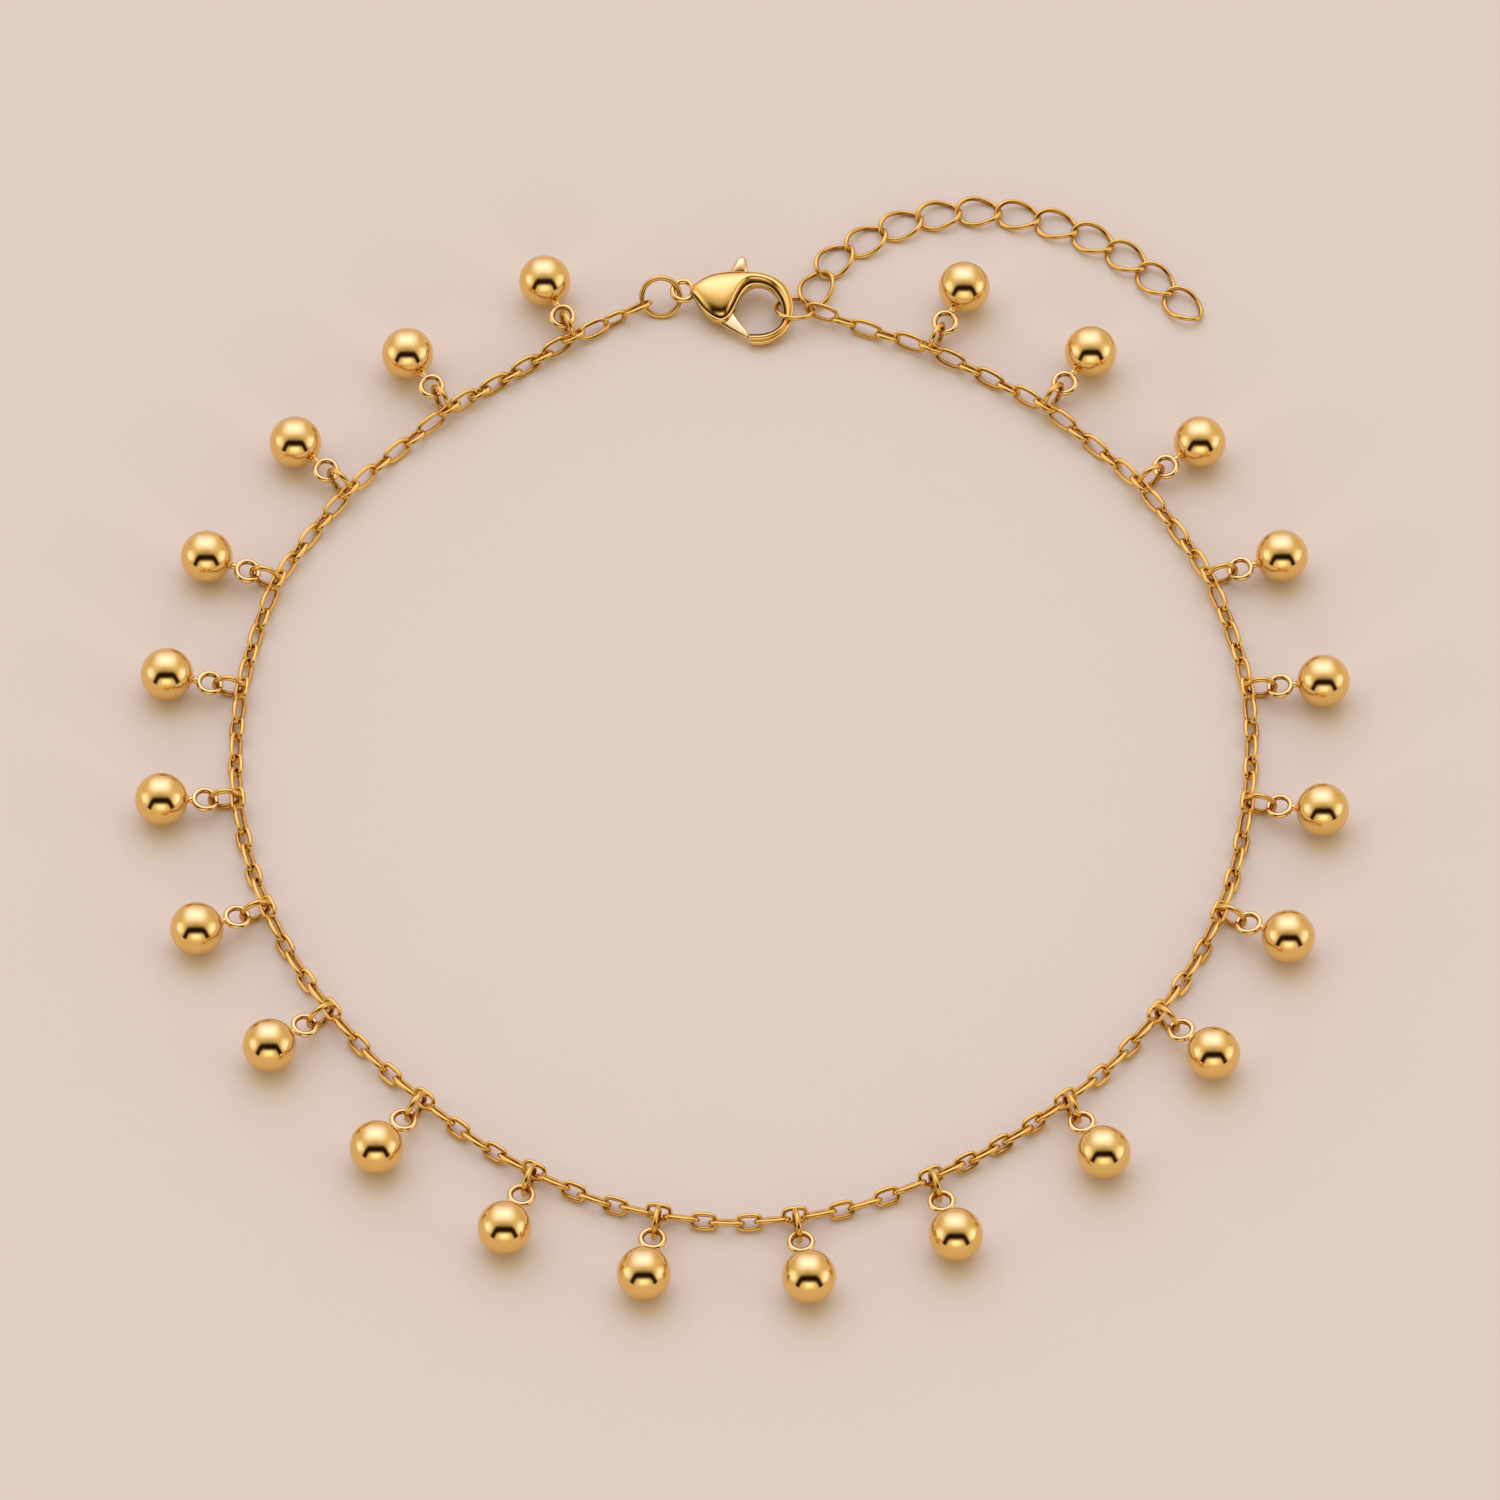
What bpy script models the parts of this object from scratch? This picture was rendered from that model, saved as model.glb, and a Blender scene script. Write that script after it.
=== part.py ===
"""Beaded choker, lying open on a flat surface.

A fine cable chain carries polished ball drops. Each ball has a loop soldered to it and hangs on a jump
ring that passes through one link of the chain. A lobster clasp on a large jump ring closes the choker
round a second large ring, which also carries a curb extension chain.

Metres, +Z up. The origin is under the middle of the laid-out choker, on the surface it lies on. The
choker lies as a loop in the XY plane, with its clasp at +Y.
"""

import math

import bmesh
import bpy
from mathutils import Matrix, Vector

MM = 0.001

# Ball drops
BEAD_DIAMETER = 6.0 * MM
BEAD_SIDES = 10
BEAD_ROWS = 6
NECK_DIAMETER = 1.2 * MM
NECK_LENGTH = 0.4 * MM
LOOP_DIAMETER = 3.1 * MM
LOOP_WIRE = 0.6 * MM
LOOP_DIP = math.radians(10)

# Small jump rings, which stand on edge and carry the drops
JUMP_RING_DIAMETER = 3.9 * MM
JUMP_RING_WIRE = 0.55 * MM
RING_SLACK_SHARE = 0.05

# Cable chain
LINK_LENGTH = 3.6 * MM
LINK_WIDTH = 2.05 * MM
LINK_WIRE = 0.44 * MM
LINK_ROLL = math.radians(38)
FIRST_LINKS_TURN = math.radians(60)
CHAIN_TUBE_DIAMETER = 1.3 * MM
CHAIN_HEIGHT = 0.82 * MM
CHAIN_LIFT = 0.93 * MM
TUBE_STEPS = 2
FIRST_SPAN_COUNT = 3
LAST_SPAN_COUNT = 5

# Curb extension chain
CURB_COUNT = 12
CURB_LENGTH = 5.6 * MM
CURB_WIDTH = 4.1 * MM
CURB_WIRE = 0.5 * MM
CURB_TWIST = 0.4 * MM
CURB_OVERLAP = 0.06 * MM
CURB_START_LIFT = 0.25 * MM
CURB_JOINT = 0.46 * MM

# Large rings at the clasp
CLASP_RING_DIAMETER = 5.0 * MM
CLASP_RING_WIRE = 0.55 * MM
CLASP_RING_TILT = math.radians(42)
END_RING_DIAMETER = 5.0 * MM
END_RING_WIRE = 0.5 * MM
END_RING_TILT = math.radians(-25)
END_RING_HEIGHT = 1.45 * MM

# Lobster clasp
CLASP_LENGTH = 12.9 * MM
CLASP_WIDTH = 9.2 * MM
CLASP_THICKNESS = 2.6 * MM
CLASP_EYE_DIAMETER = 3.0 * MM
CLASP_EYE_WIRE = 0.58 * MM
CLASP_TILT = math.radians(12)
CLASP_EYE_HEIGHT = 2.15 * MM
LEVER_THICKNESS = 0.75 * MM
LEVER_HUB_DIAMETER = 2.2 * MM
LEVER_GATE_LENGTH = 4.5 * MM
LEVER_GATE_ROOT = 1.2 * MM
LEVER_GATE_TIP = 0.6 * MM
LEVER_GATE_ANGLE = math.radians(-42)
LEVER_ARM_ANGLE = math.radians(69)
LEVER_ARM_WIDTH = 1.3 * MM
LEVER_TAB_REACH = 7.1 * MM
LEVER_OPENING = math.radians(25)
PIN_DIAMETER = 0.8 * MM
PIN_LENGTH = 2.0 * MM

# Clearances
WIRE_CLEARANCE = 0.1 * MM
LEVER_SIDE_CLEARANCE = 0.13 * MM
LEVER_EDGE_CLEARANCE = 0.18 * MM
PIN_CLEARANCE = 0.1 * MM

# Facets
LINK_STEPS = 10
WIRE_SIDES = 5
LARGE_RING_STEPS = 14
LARGE_RING_SIDES = 6
HOOK_SIDES = 8
BODY_SIDES = 12
BODY_SQUARENESS = 2.6

# The chain's route, one chosen point for each drop. Columns: x and y in millimetres, links of chain since
# the drop before, the drop's lean from the chain's normal in degrees, and its slack in millimetres.
CHAIN_ROUTE = [
    (-19.8, 54.3, FIRST_SPAN_COUNT, -8, 0.9),
    (-34.0, 44.2, 8, -4, 0.2),
    (-45.3, 33.0, 6, -3, 0.1),
    (-53.2, 20.6, 6, 7, 0.1),
    (-56.9, 6.0, 6, 0, 0.0),
    (-57.0, -8.7, 6, -1, 0.0),
    (-53.3, -23.0, 6, 3, 0.0),
    (-45.9, -36.3, 6, 3, 0.0),
    (-35.4, -47.8, 6, 6, 0.0),
    (-23.1, -56.9, 6, 8, 0.0),
    (-9.3, -62.2, 6, 1, 0.0),
    (5.7, -62.6, 6, 2, 0.0),
    (20.7, -57.6, 6, -8, 0.0),
    (35.7, -47.8, 8, -11, 0.0),
    (46.1, -36.6, 6, -9, 0.0),
    (53.3, -23.6, 6, -6, 0.0),
    (56.8, -9.2, 6, -4, 0.0),
    (57.2, 6.0, 6, -5, 0.0),
    (53.2, 21.0, 6, -8, 0.0),
    (45.6, 33.8, 6, -2, 0.1),
    (34.8, 44.6, 6, 0, 0.0),
    (21.7, 52.7, 6, 0, 0.0),
]

# The extension chain's route after its first link, to its last link's middle, in millimetres
EXTENSION_ROUTE = [
    (10.8, 65.9), (18.5, 70.8), (27.2, 72.6), (36.3, 70.8), (44.7, 66.0), (51.6, 58.8),
]

# Place of the clasp's eye, how far the clasp ring lies from it, and how far the end ring lies beyond the
# clasp's length and to its side
CLASP_EYE_PLACE = (-7.05 * MM, 60.38 * MM)
CLASP_RING_OFFSET = (-2.55 * MM, -0.6 * MM)
END_RING_BEYOND = 0.15 * MM
END_RING_ASIDE = 1.98 * MM

# Where on its ring each chain end is hung, in degrees round the ring from +X
CHAIN_START_ON_RING = 205
CHAIN_END_ON_RING = -8
EXTENSION_START_ON_RING = 45
EXTENSION_START_TURN = math.radians(64)

# The clasp's body, eye to bow. Columns: place along the clasp as a share of its length, upper edge, lower
# edge as shares of its width, thickness as a share of its thickness.
CLASP_BODY = [
    (0.095, 0.010, -0.080, 0.34),
    (0.171, 0.103, -0.270, 0.72),
    (0.256, 0.174, -0.400, 0.92),
    (0.341, 0.217, -0.455, 1.00),
    (0.411, 0.241, -0.405, 1.00),
    (0.465, 0.255, -0.255, 0.96),
    (0.512, 0.262, -0.092, 0.90),
    (0.581, 0.262, 0.055, 0.80),
]

# The clasp's hook, bow to tip. Columns: middle along the clasp as a share of its length and across it as
# a share of its width, width and thickness of the section as shares of the clasp's thickness.
CLASP_HOOK = [
    (0.560, 0.158, 0.74, 0.80),
    (0.674, 0.185, 0.56, 0.73),
    (0.791, 0.137, 0.49, 0.66),
    (0.882, 0.016, 0.48, 0.62),
    (0.938, -0.165, 0.48, 0.58),
    (0.944, -0.335, 0.48, 0.56),
    (0.912, -0.492, 0.47, 0.54),
    (0.832, -0.610, 0.46, 0.52),
    (0.722, -0.664, 0.46, 0.50),
    (0.622, -0.660, 0.46, 0.50),
]

# The lever's pin, as shares of the clasp's length and width
PIN_PLACE = (0.333, -0.3)

# Colours and polish
BALL_GOLD = (0.86, 0.58, 0.20, 1.0)
BALL_ROUGHNESS = 0.08
RING_GOLD = (0.84, 0.56, 0.18, 1.0)
RING_ROUGHNESS = 0.16
CHAIN_GOLD = (0.82, 0.55, 0.17, 1.0)
CHAIN_ROUGHNESS = 0.2
CLASP_GOLD = (0.84, 0.57, 0.19, 1.0)
CLASP_ROUGHNESS = 0.14


def clear_scene():
    """Remove every object of the open file."""
    for item in list(bpy.data.objects):
        bpy.data.objects.remove(item)


def make_metal(name, colour, roughness):
    """Polished yellow gold plating."""
    metal = bpy.data.materials.new(name)
    metal.use_nodes = True
    shader = metal.node_tree.nodes["Principled BSDF"]
    shader.inputs["Base Color"].default_value = colour
    shader.inputs["Metallic"].default_value = 1.0
    shader.inputs["Roughness"].default_value = roughness
    metal.diffuse_color = colour
    return metal


def add_piece(name, mesh, metal, place=None):
    """One named object, shaded smooth apart from its sharp edges."""
    if not mesh.materials:
        mesh.materials.append(metal)
    piece = bpy.data.objects.new(name, mesh)
    bpy.context.collection.objects.link(piece)
    if place is not None:
        piece.matrix_world = place
    return piece


def mesh_from(vertices, faces, name):
    """A mesh with its faces pointing outwards."""
    shape = bmesh.new()
    corners = [shape.verts.new(v) for v in vertices]
    for face in faces:
        shape.faces.new([corners[i] for i in face])
    bmesh.ops.recalc_face_normals(shape, faces=shape.faces)
    mesh = bpy.data.meshes.new(name)
    shape.to_mesh(mesh)
    shape.free()
    mesh.shade_smooth()
    return mesh


def skin_rings(rings, closed, name):
    """A surface through rings of points, joined end to end or capped at both ends."""
    sides = len(rings[0])
    vertices = [point for ring in rings for point in ring]
    faces = []
    spans = len(rings) if closed else len(rings) - 1
    for row in range(spans):
        low = row * sides
        high = ((row + 1) % len(rings)) * sides
        for side in range(sides):
            nxt = (side + 1) % sides
            faces.append((low + side, low + nxt, high + nxt, high + side))
    if not closed:
        faces.append(tuple(reversed(range(sides))))
        faces.append(tuple(range(len(vertices) - sides, len(vertices))))
    return mesh_from(vertices, faces, name)


def wire_loop(centres, wire, sides, up, name):
    """A closed ring of round wire along a closed row of points."""
    count = len(centres)
    rings = []
    for i, centre in enumerate(centres):
        along = (centres[(i + 1) % count] - centres[i - 1]).normalized()
        out = along.cross(up).normalized()
        rise = out.cross(along)
        ring = []
        for side in range(sides):
            turn = 2 * math.pi * (side + 0.5) / sides
            ring.append(centre + wire / 2 * (math.cos(turn) * out + math.sin(turn) * rise))
        rings.append(ring)
    return skin_rings(rings, True, name)


def oval(length, width, wire, steps, twist=0.0):
    """The middle line of an oval link along X and Y, its flat ends across X, with a curb link's twist."""
    half_length = (length - wire) / 2 / math.cos(math.pi / steps)
    half_width = (width - wire) / 2
    points = []
    for i in range(steps):
        turn = 2 * math.pi * (i + 0.5) / steps
        points.append(Vector((
            half_length * math.cos(turn), half_width * math.sin(turn), -twist * math.sin(2 * turn))))
    return points


def round_ring(diameter, wire, steps, sides, name):
    """A round ring of wire in the XY plane."""
    return wire_loop(oval(diameter, diameter, wire, steps), wire, sides, Vector((0, 0, 1)), name)


def fuse(name, parts):
    """One mesh from overlapping objects, which are removed."""
    body = parts[0]
    others = bpy.data.collections.new(name + "_parts")
    for part in parts[1:]:
        others.objects.link(part)
    union = body.modifiers.new("union", "BOOLEAN")
    union.operation = "UNION"
    union.operand_type = "COLLECTION"
    union.collection = others
    union.solver = "EXACT"
    bpy.context.view_layer.update()
    mesh = bpy.data.meshes.new_from_object(body.evaluated_get(bpy.context.evaluated_depsgraph_get()))
    mesh.transform(body.matrix_world)
    mesh.name = name
    for part in parts:
        bpy.data.objects.remove(part)
    bpy.data.collections.remove(others)
    mesh.shade_smooth()
    return mesh


def cut(body, cutters):
    """Subtract cutters from an object for good."""
    for cutter in cutters:
        step = body.modifiers.new("cut", "BOOLEAN")
        step.operation = "DIFFERENCE"
        step.object = cutter
        step.solver = "EXACT"
    bpy.context.view_layer.update()
    mesh = bpy.data.meshes.new_from_object(body.evaluated_get(bpy.context.evaluated_depsgraph_get()))
    mesh.name = body.name
    body.modifiers.clear()
    body.data = mesh
    for cutter in cutters:
        bpy.data.objects.remove(cutter)
    return body


def basis(place, x_axis, y_axis):
    """A matrix from an origin and two directions that are square to each other."""
    x = x_axis.normalized()
    z = x.cross(y_axis).normalized()
    y = z.cross(x)
    turn = Matrix((x, y, z)).transposed().to_4x4()
    return Matrix.Translation(place) @ turn


class Route:
    """A smooth curve through chosen points, measured along its length."""

    def __init__(self, points, steps=24):
        self.samples = [points[0].copy()]
        self.marks = [0.0]
        self.knots = [0.0]
        padded = [2 * points[0] - points[1]] + points + [2 * points[-1] - points[-2]]
        for i in range(1, len(padded) - 2):
            for step in range(1, steps + 1):
                self.samples.append(catmull_rom(*padded[i - 1:i + 3], step / steps))
                gap = (self.samples[-1] - self.samples[-2]).length
                self.marks.append(self.marks[-1] + gap)
            self.knots.append(self.marks[-1])

    def at(self, distance):
        """The point and the direction at a distance from the start."""
        last = len(self.marks) - 2
        i = 0
        while i < last and self.marks[i + 1] < distance:
            i += 1
        span = self.marks[i + 1] - self.marks[i]
        share = (distance - self.marks[i]) / span
        before = self.samples[max(i - 1, 0)]
        after = self.samples[min(i + 2, last + 1)]
        return self.samples[i].lerp(self.samples[i + 1], share), (after - before).normalized()


def catmull_rom(before, start, end, after, t):
    """A point on the spline from start to end."""
    return 0.5 * (2 * start + (end - before) * t + (2 * before - 5 * start + 4 * end - after) * t ** 2
                  + (3 * start - before - 3 * end + after) * t ** 3)


def on_tilted_ring(place, diameter, wire, tilt, degrees):
    """A point on the middle line of a large ring."""
    turn = math.radians(degrees)
    radius = (diameter - wire) / 2
    return place + radius * Vector((
        math.cos(turn), math.sin(turn) * math.cos(tilt), math.sin(turn) * math.sin(tilt)))


def clasp_ring_place():
    """The middle of the clasp ring, which leans with its near side on the surface."""
    height = (CLASP_RING_DIAMETER - CLASP_RING_WIRE) / 2 * math.sin(CLASP_RING_TILT) + CLASP_RING_WIRE / 2
    return Vector((CLASP_EYE_PLACE[0] + CLASP_RING_OFFSET[0], CLASP_EYE_PLACE[1] + CLASP_RING_OFFSET[1],
                   height))


def end_ring_place():
    """The middle of the end ring, which hangs in the clasp's hook."""
    return Vector((CLASP_EYE_PLACE[0] + CLASP_LENGTH + END_RING_BEYOND,
                   CLASP_EYE_PLACE[1] - END_RING_ASIDE, END_RING_HEIGHT))


def chain_ends():
    """The two points on the large rings that the cable chain's end links hold."""
    start = on_tilted_ring(clasp_ring_place(), CLASP_RING_DIAMETER, CLASP_RING_WIRE, CLASP_RING_TILT,
                           CHAIN_START_ON_RING)
    end = on_tilted_ring(end_ring_place(), END_RING_DIAMETER, END_RING_WIRE, END_RING_TILT,
                         CHAIN_END_ON_RING)
    return start, end


def end_link_reach(wire):
    """From a ring's wire to the middle of the end link that holds it."""
    return LINK_LENGTH / 2 - LINK_WIRE - wire / 2 - WIRE_CLEARANCE


def chain_route():
    """The chain's curve from the middle of its first link to the middle of its last."""
    start, end = chain_ends()
    drops = [Vector((row[0] * MM, row[1] * MM, CHAIN_HEIGHT + CHAIN_LIFT)) for row in CHAIN_ROUTE]
    to_first = (drops[0] - start).normalized()
    to_last = (drops[-1] - end).normalized()
    first = start + end_link_reach(CLASP_RING_WIRE) * to_first
    last = end + end_link_reach(END_RING_WIRE) * to_last
    return Route([first] + drops + [last])


def link_places(route):
    """Each link's distance along the route, its height and whether it carries a drop."""
    counts = [row[2] for row in CHAIN_ROUTE] + [LAST_SPAN_COUNT]
    places = [(0.0, route.at(0.0)[0].z, False)]
    for span, count in enumerate(counts):
        start, end = route.knots[span], route.knots[span + 1]
        low = route.at(start)[0].z
        high = route.at(end)[0].z
        for i in range(1, count + 1):
            share = i / count
            height = chain_height(share, low, high)
            places.append((start + share * (end - start), height, i == count and span < len(CHAIN_ROUTE)))
    return places


def chain_height(share, low, high):
    """The chain comes down to the surface between two drops, whose rings hold it up."""
    side = low if share < 0.5 else high
    return CHAIN_HEIGHT + (side - CHAIN_HEIGHT) * (1 - 2 * share) ** 2


def link_matrix(route, distance, height, index):
    """Where link number index lies. Each is rolled a quarter turn from the last, less before the first drop."""
    place, along = route.at(distance)
    place.z = height
    along.z = 0.0
    along.normalize()
    inward = Vector((-along.y, along.x, 0.0))
    links_on = index - FIRST_SPAN_COUNT
    roll = LINK_ROLL + (links_on % 2 * math.pi / 2 if links_on > 0 else links_on * FIRST_LINKS_TURN)
    across = math.cos(roll) * inward + math.sin(roll) * Vector((0, 0, 1))
    return basis(place, along, across)


def make_tube(points, metal, name):
    """A round tube through points, with filled ends."""
    curve = bpy.data.curves.new(name, "CURVE")
    curve.dimensions = "3D"
    curve.bevel_depth = CHAIN_TUBE_DIAMETER / 2
    curve.bevel_resolution = 1
    curve.use_fill_caps = True
    line = curve.splines.new("POLY")
    line.points.add(len(points) - 1)
    for spot, point in zip(line.points, points):
        spot.co = (*point, 1.0)
    holder = bpy.data.objects.new(name, curve)
    bpy.context.collection.objects.link(holder)
    bpy.context.view_layer.update()
    mesh = bpy.data.meshes.new_from_object(holder.evaluated_get(bpy.context.evaluated_depsgraph_get()))
    bpy.data.objects.remove(holder)
    shape = bmesh.new()
    shape.from_mesh(mesh)
    bmesh.ops.remove_doubles(shape, verts=shape.verts, dist=1e-6)
    bmesh.ops.recalc_face_normals(shape, faces=shape.faces)
    shape.to_mesh(mesh)
    shape.free()
    return add_piece(name, mesh, metal)


def make_chain(route, metal):
    """The cable chain: real links where a ring passes through, and the finest links as plain tube."""
    link = wire_loop(oval(LINK_LENGTH, LINK_WIDTH, LINK_WIRE, LINK_STEPS), LINK_WIRE, WIRE_SIDES,
                     Vector((0, 0, 1)), "cable_link")
    places = link_places(route)
    held = [i for i, place in enumerate(places) if place[2] or i in (0, len(places) - 1)]
    parts = []
    for index in held:
        distance, height, _ = places[index]
        parts.append(add_piece(f"link_{index:03d}", link, metal,
                               link_matrix(route, distance, height, index)))
    reach = LINK_LENGTH / 2 - 0.75 * LINK_WIRE
    for first, second in zip(held, held[1:]):
        start, low, _ = places[first]
        end, high, _ = places[second]
        points = []
        for step in range(TUBE_STEPS + 1):
            distance = start + reach + (end - start - 2 * reach) * step / TUBE_STEPS
            share = (distance - start) / (end - start)
            point = route.at(distance)[0]
            point.z = chain_height(share, low, high)
            points.append(point)
        parts.append(make_tube(points, metal, f"tube_{first:03d}"))
    return add_piece("chain", fuse("chain", parts), metal)


def bead_mesh(metal):
    """A ball with its neck and soldered loop: ball at the origin, loop towards +X, dipped a little."""
    radius = BEAD_DIAMETER / 2
    neck_radius = NECK_DIAMETER / 2
    neck_root = math.acos(neck_radius / radius)
    profile = [(-radius * math.cos(math.pi * i / BEAD_ROWS), radius * math.sin(math.pi * i / BEAD_ROWS))
               for i in range(1, BEAD_ROWS)]
    profile.append((radius * math.sin(neck_root), neck_radius))
    rings = []
    for x, r in profile:
        ring = []
        for side in range(BEAD_SIDES):
            turn = 2 * math.pi * (side + 0.5) / BEAD_SIDES
            ring.append(Vector((x, r * math.cos(turn), r * math.sin(turn))))
        rings.append(ring)
    neck_tip = Vector((radius + NECK_LENGTH + LOOP_WIRE / 2, 0, 0))
    ball = skin_rings(rings, False, "ball")
    point_caps(ball, [Vector((-radius, 0, 0)), neck_tip])
    loop = round_ring(LOOP_DIAMETER, LOOP_WIRE, LINK_STEPS, WIRE_SIDES, "drop_loop")
    loop.transform(Matrix.Translation((loop_reach(), 0, 0)))
    mesh = fuse("drop", [add_piece("ball", ball, metal), add_piece("loop", loop, metal)])
    mesh.transform(Matrix.Rotation(LOOP_DIP, 4, "Y"))
    return mesh


def point_caps(mesh, poles):
    """Turn the flat caps at both ends into fans round a pole, the first towards -X."""
    shape = bmesh.new()
    shape.from_mesh(mesh)
    caps = sorted((face for face in shape.faces if len(face.verts) == BEAD_SIDES),
                  key=lambda face: face.calc_center_median().x)
    for cap, pole in zip(caps, poles):
        bmesh.ops.poke(shape, faces=[cap])["verts"][0].co = pole
    shape.to_mesh(mesh)
    shape.free()


def loop_reach():
    """From the ball's middle to its loop's middle."""
    return BEAD_DIAMETER / 2 + NECK_LENGTH + LOOP_DIAMETER / 2


def hang_offsets():
    """How far along a taut drop its jump ring and its ball lie from the chain's middle line."""
    ring_radius = (JUMP_RING_DIAMETER - JUMP_RING_WIRE) / 2
    ring_height = JUMP_RING_DIAMETER / 2
    half_link = (LINK_WIDTH - LINK_WIRE) / 2
    link_wire_height = CHAIN_HEIGHT + CHAIN_LIFT - half_link * math.sin(LINK_ROLL)
    held = ring_radius - JUMP_RING_WIRE / 2 - LINK_WIRE / 2 - WIRE_CLEARANCE
    link_gap = math.sqrt(held ** 2 - (link_wire_height - ring_height) ** 2)
    ring_offset = link_gap + half_link * math.cos(LINK_ROLL)
    far_side = loop_reach() + (LOOP_DIAMETER - LOOP_WIRE) / 2
    far_height = BEAD_DIAMETER / 2 - far_side * math.sin(LOOP_DIP)
    held = ring_radius - JUMP_RING_WIRE / 2 - LOOP_WIRE / 2 - WIRE_CLEARANCE
    loop_gap = math.sqrt(held ** 2 - (far_height - ring_height) ** 2)
    bead_offset = ring_offset + loop_gap + far_side * math.cos(LOOP_DIP)
    return ring_offset, bead_offset


def make_drops(route, ball_metal, metal):
    """The ball drops and the jump rings that hang them on the chain."""
    drop = bead_mesh(ball_metal)
    ring = round_ring(JUMP_RING_DIAMETER, JUMP_RING_WIRE, LINK_STEPS, WIRE_SIDES, "jump_ring")
    ring_offset, bead_offset = hang_offsets()
    for number, row in enumerate(CHAIN_ROUTE, start=1):
        place, along = route.at(route.knots[number])
        along.z = 0.0
        along.normalize()
        outward = Vector((along.y, -along.x, 0.0))
        outward.rotate(Matrix.Rotation(math.radians(row[3]), 3, "Z"))
        slack = row[4] * MM
        bead_place = place + (bead_offset - slack) * outward
        bead_place.z = BEAD_DIAMETER / 2
        side = Vector((0, 0, 1)).cross(-outward)
        add_piece(f"drop_{number:02d}", drop, ball_metal, basis(bead_place, -outward, side))
        ring_place = place + (ring_offset - slack * RING_SLACK_SHARE) * outward
        ring_place.z = JUMP_RING_DIAMETER / 2
        add_piece(f"jump_ring_{number:02d}", ring, metal, basis(ring_place, outward, Vector((0, 0, 1))))


def make_extension(metal):
    """The curb extension chain, its twisted links fused where they touch."""
    flat = oval(CURB_LENGTH, CURB_WIDTH, CURB_WIRE, LINK_STEPS, CURB_TWIST)
    link = wire_loop(flat, CURB_WIRE, WIRE_SIDES, Vector((0, 0, 1)), "curb_link")
    ground = CURB_TWIST + CURB_WIRE / 2
    held = on_tilted_ring(end_ring_place(), END_RING_DIAMETER, END_RING_WIRE, END_RING_TILT,
                          EXTENSION_START_ON_RING)
    reach = CURB_LENGTH / 2 - CURB_WIRE - END_RING_WIRE / 2 - WIRE_CLEARANCE
    first = held + reach * Vector((math.cos(EXTENSION_START_TURN), math.sin(EXTENSION_START_TURN), 0))
    first.z = ground
    route = Route([first] + [Vector((x * MM, y * MM, ground)) for x, y in EXTENSION_ROUTE])
    pitch = CURB_LENGTH - 2 * CURB_WIRE + CURB_OVERLAP
    parts = []
    for number in range(CURB_COUNT):
        place, along = route.at(number * pitch)
        place.z += CURB_START_LIFT / (1 + 3 * number)
        side = Vector((0, 0, 1)).cross(along)
        parts.append(add_piece(f"curb_{number:02d}", link, metal, basis(place, along, side)))
        if number:
            joint = add_piece(f"joint_{number:02d}", cube_mesh(CURB_JOINT, "curb_joint"), metal)
            joint.matrix_world = basis((place + last_place) / 2, along, side)
            parts.append(joint)
        last_place = place
    return add_piece("extension_chain", fuse("extension_chain", parts), metal)


def cube_mesh(size, name):
    """A small cube."""
    shape = bmesh.new()
    bmesh.ops.create_cube(shape, size=size)
    mesh = bpy.data.meshes.new(name)
    shape.to_mesh(mesh)
    shape.free()
    return mesh


def make_large_rings(metal):
    """The ring between the chain and the clasp, and the ring that the clasp's hook holds."""
    rings = [
        ("clasp_ring", CLASP_RING_DIAMETER, CLASP_RING_WIRE, clasp_ring_place(), CLASP_RING_TILT),
        ("end_ring", END_RING_DIAMETER, END_RING_WIRE, end_ring_place(), END_RING_TILT),
    ]
    for name, diameter, wire, place, tilt in rings:
        mesh = round_ring(diameter, wire, LARGE_RING_STEPS, LARGE_RING_SIDES, name)
        add_piece(name, mesh, metal, Matrix.Translation(place) @ Matrix.Rotation(tilt, 4, "X"))


def clasp_matrix():
    """The clasp's own frame: its eye at the origin, its length along X, its thickness along Z."""
    spot = Matrix.Translation((*CLASP_EYE_PLACE, CLASP_EYE_HEIGHT))
    return spot @ Matrix.Rotation(CLASP_TILT, 4, "X")


def rounded(turn, half_width, half_thickness):
    """A point on a cross-section between an ellipse and a box."""
    power = 2 / BODY_SQUARENESS
    c, s = math.cos(turn), math.sin(turn)
    return (math.copysign(abs(c) ** power * half_width, c),
            math.copysign(abs(s) ** power * half_thickness, s))


def body_mesh():
    """The clasp's domed body, lofted from the eye to the bow."""
    rings = []
    for along, top, bottom, thick in CLASP_BODY:
        middle = (top + bottom) / 2 * CLASP_WIDTH
        half = (top - bottom) / 2 * CLASP_WIDTH
        ring = []
        for side in range(BODY_SIDES):
            turn = 2 * math.pi * (side + 0.5) / BODY_SIDES
            y, z = rounded(turn, half, thick * CLASP_THICKNESS / 2)
            ring.append(Vector((along * CLASP_LENGTH, middle + y, z)))
        rings.append(ring)
    return skin_rings(rings, False, "clasp_body_loft")


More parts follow.
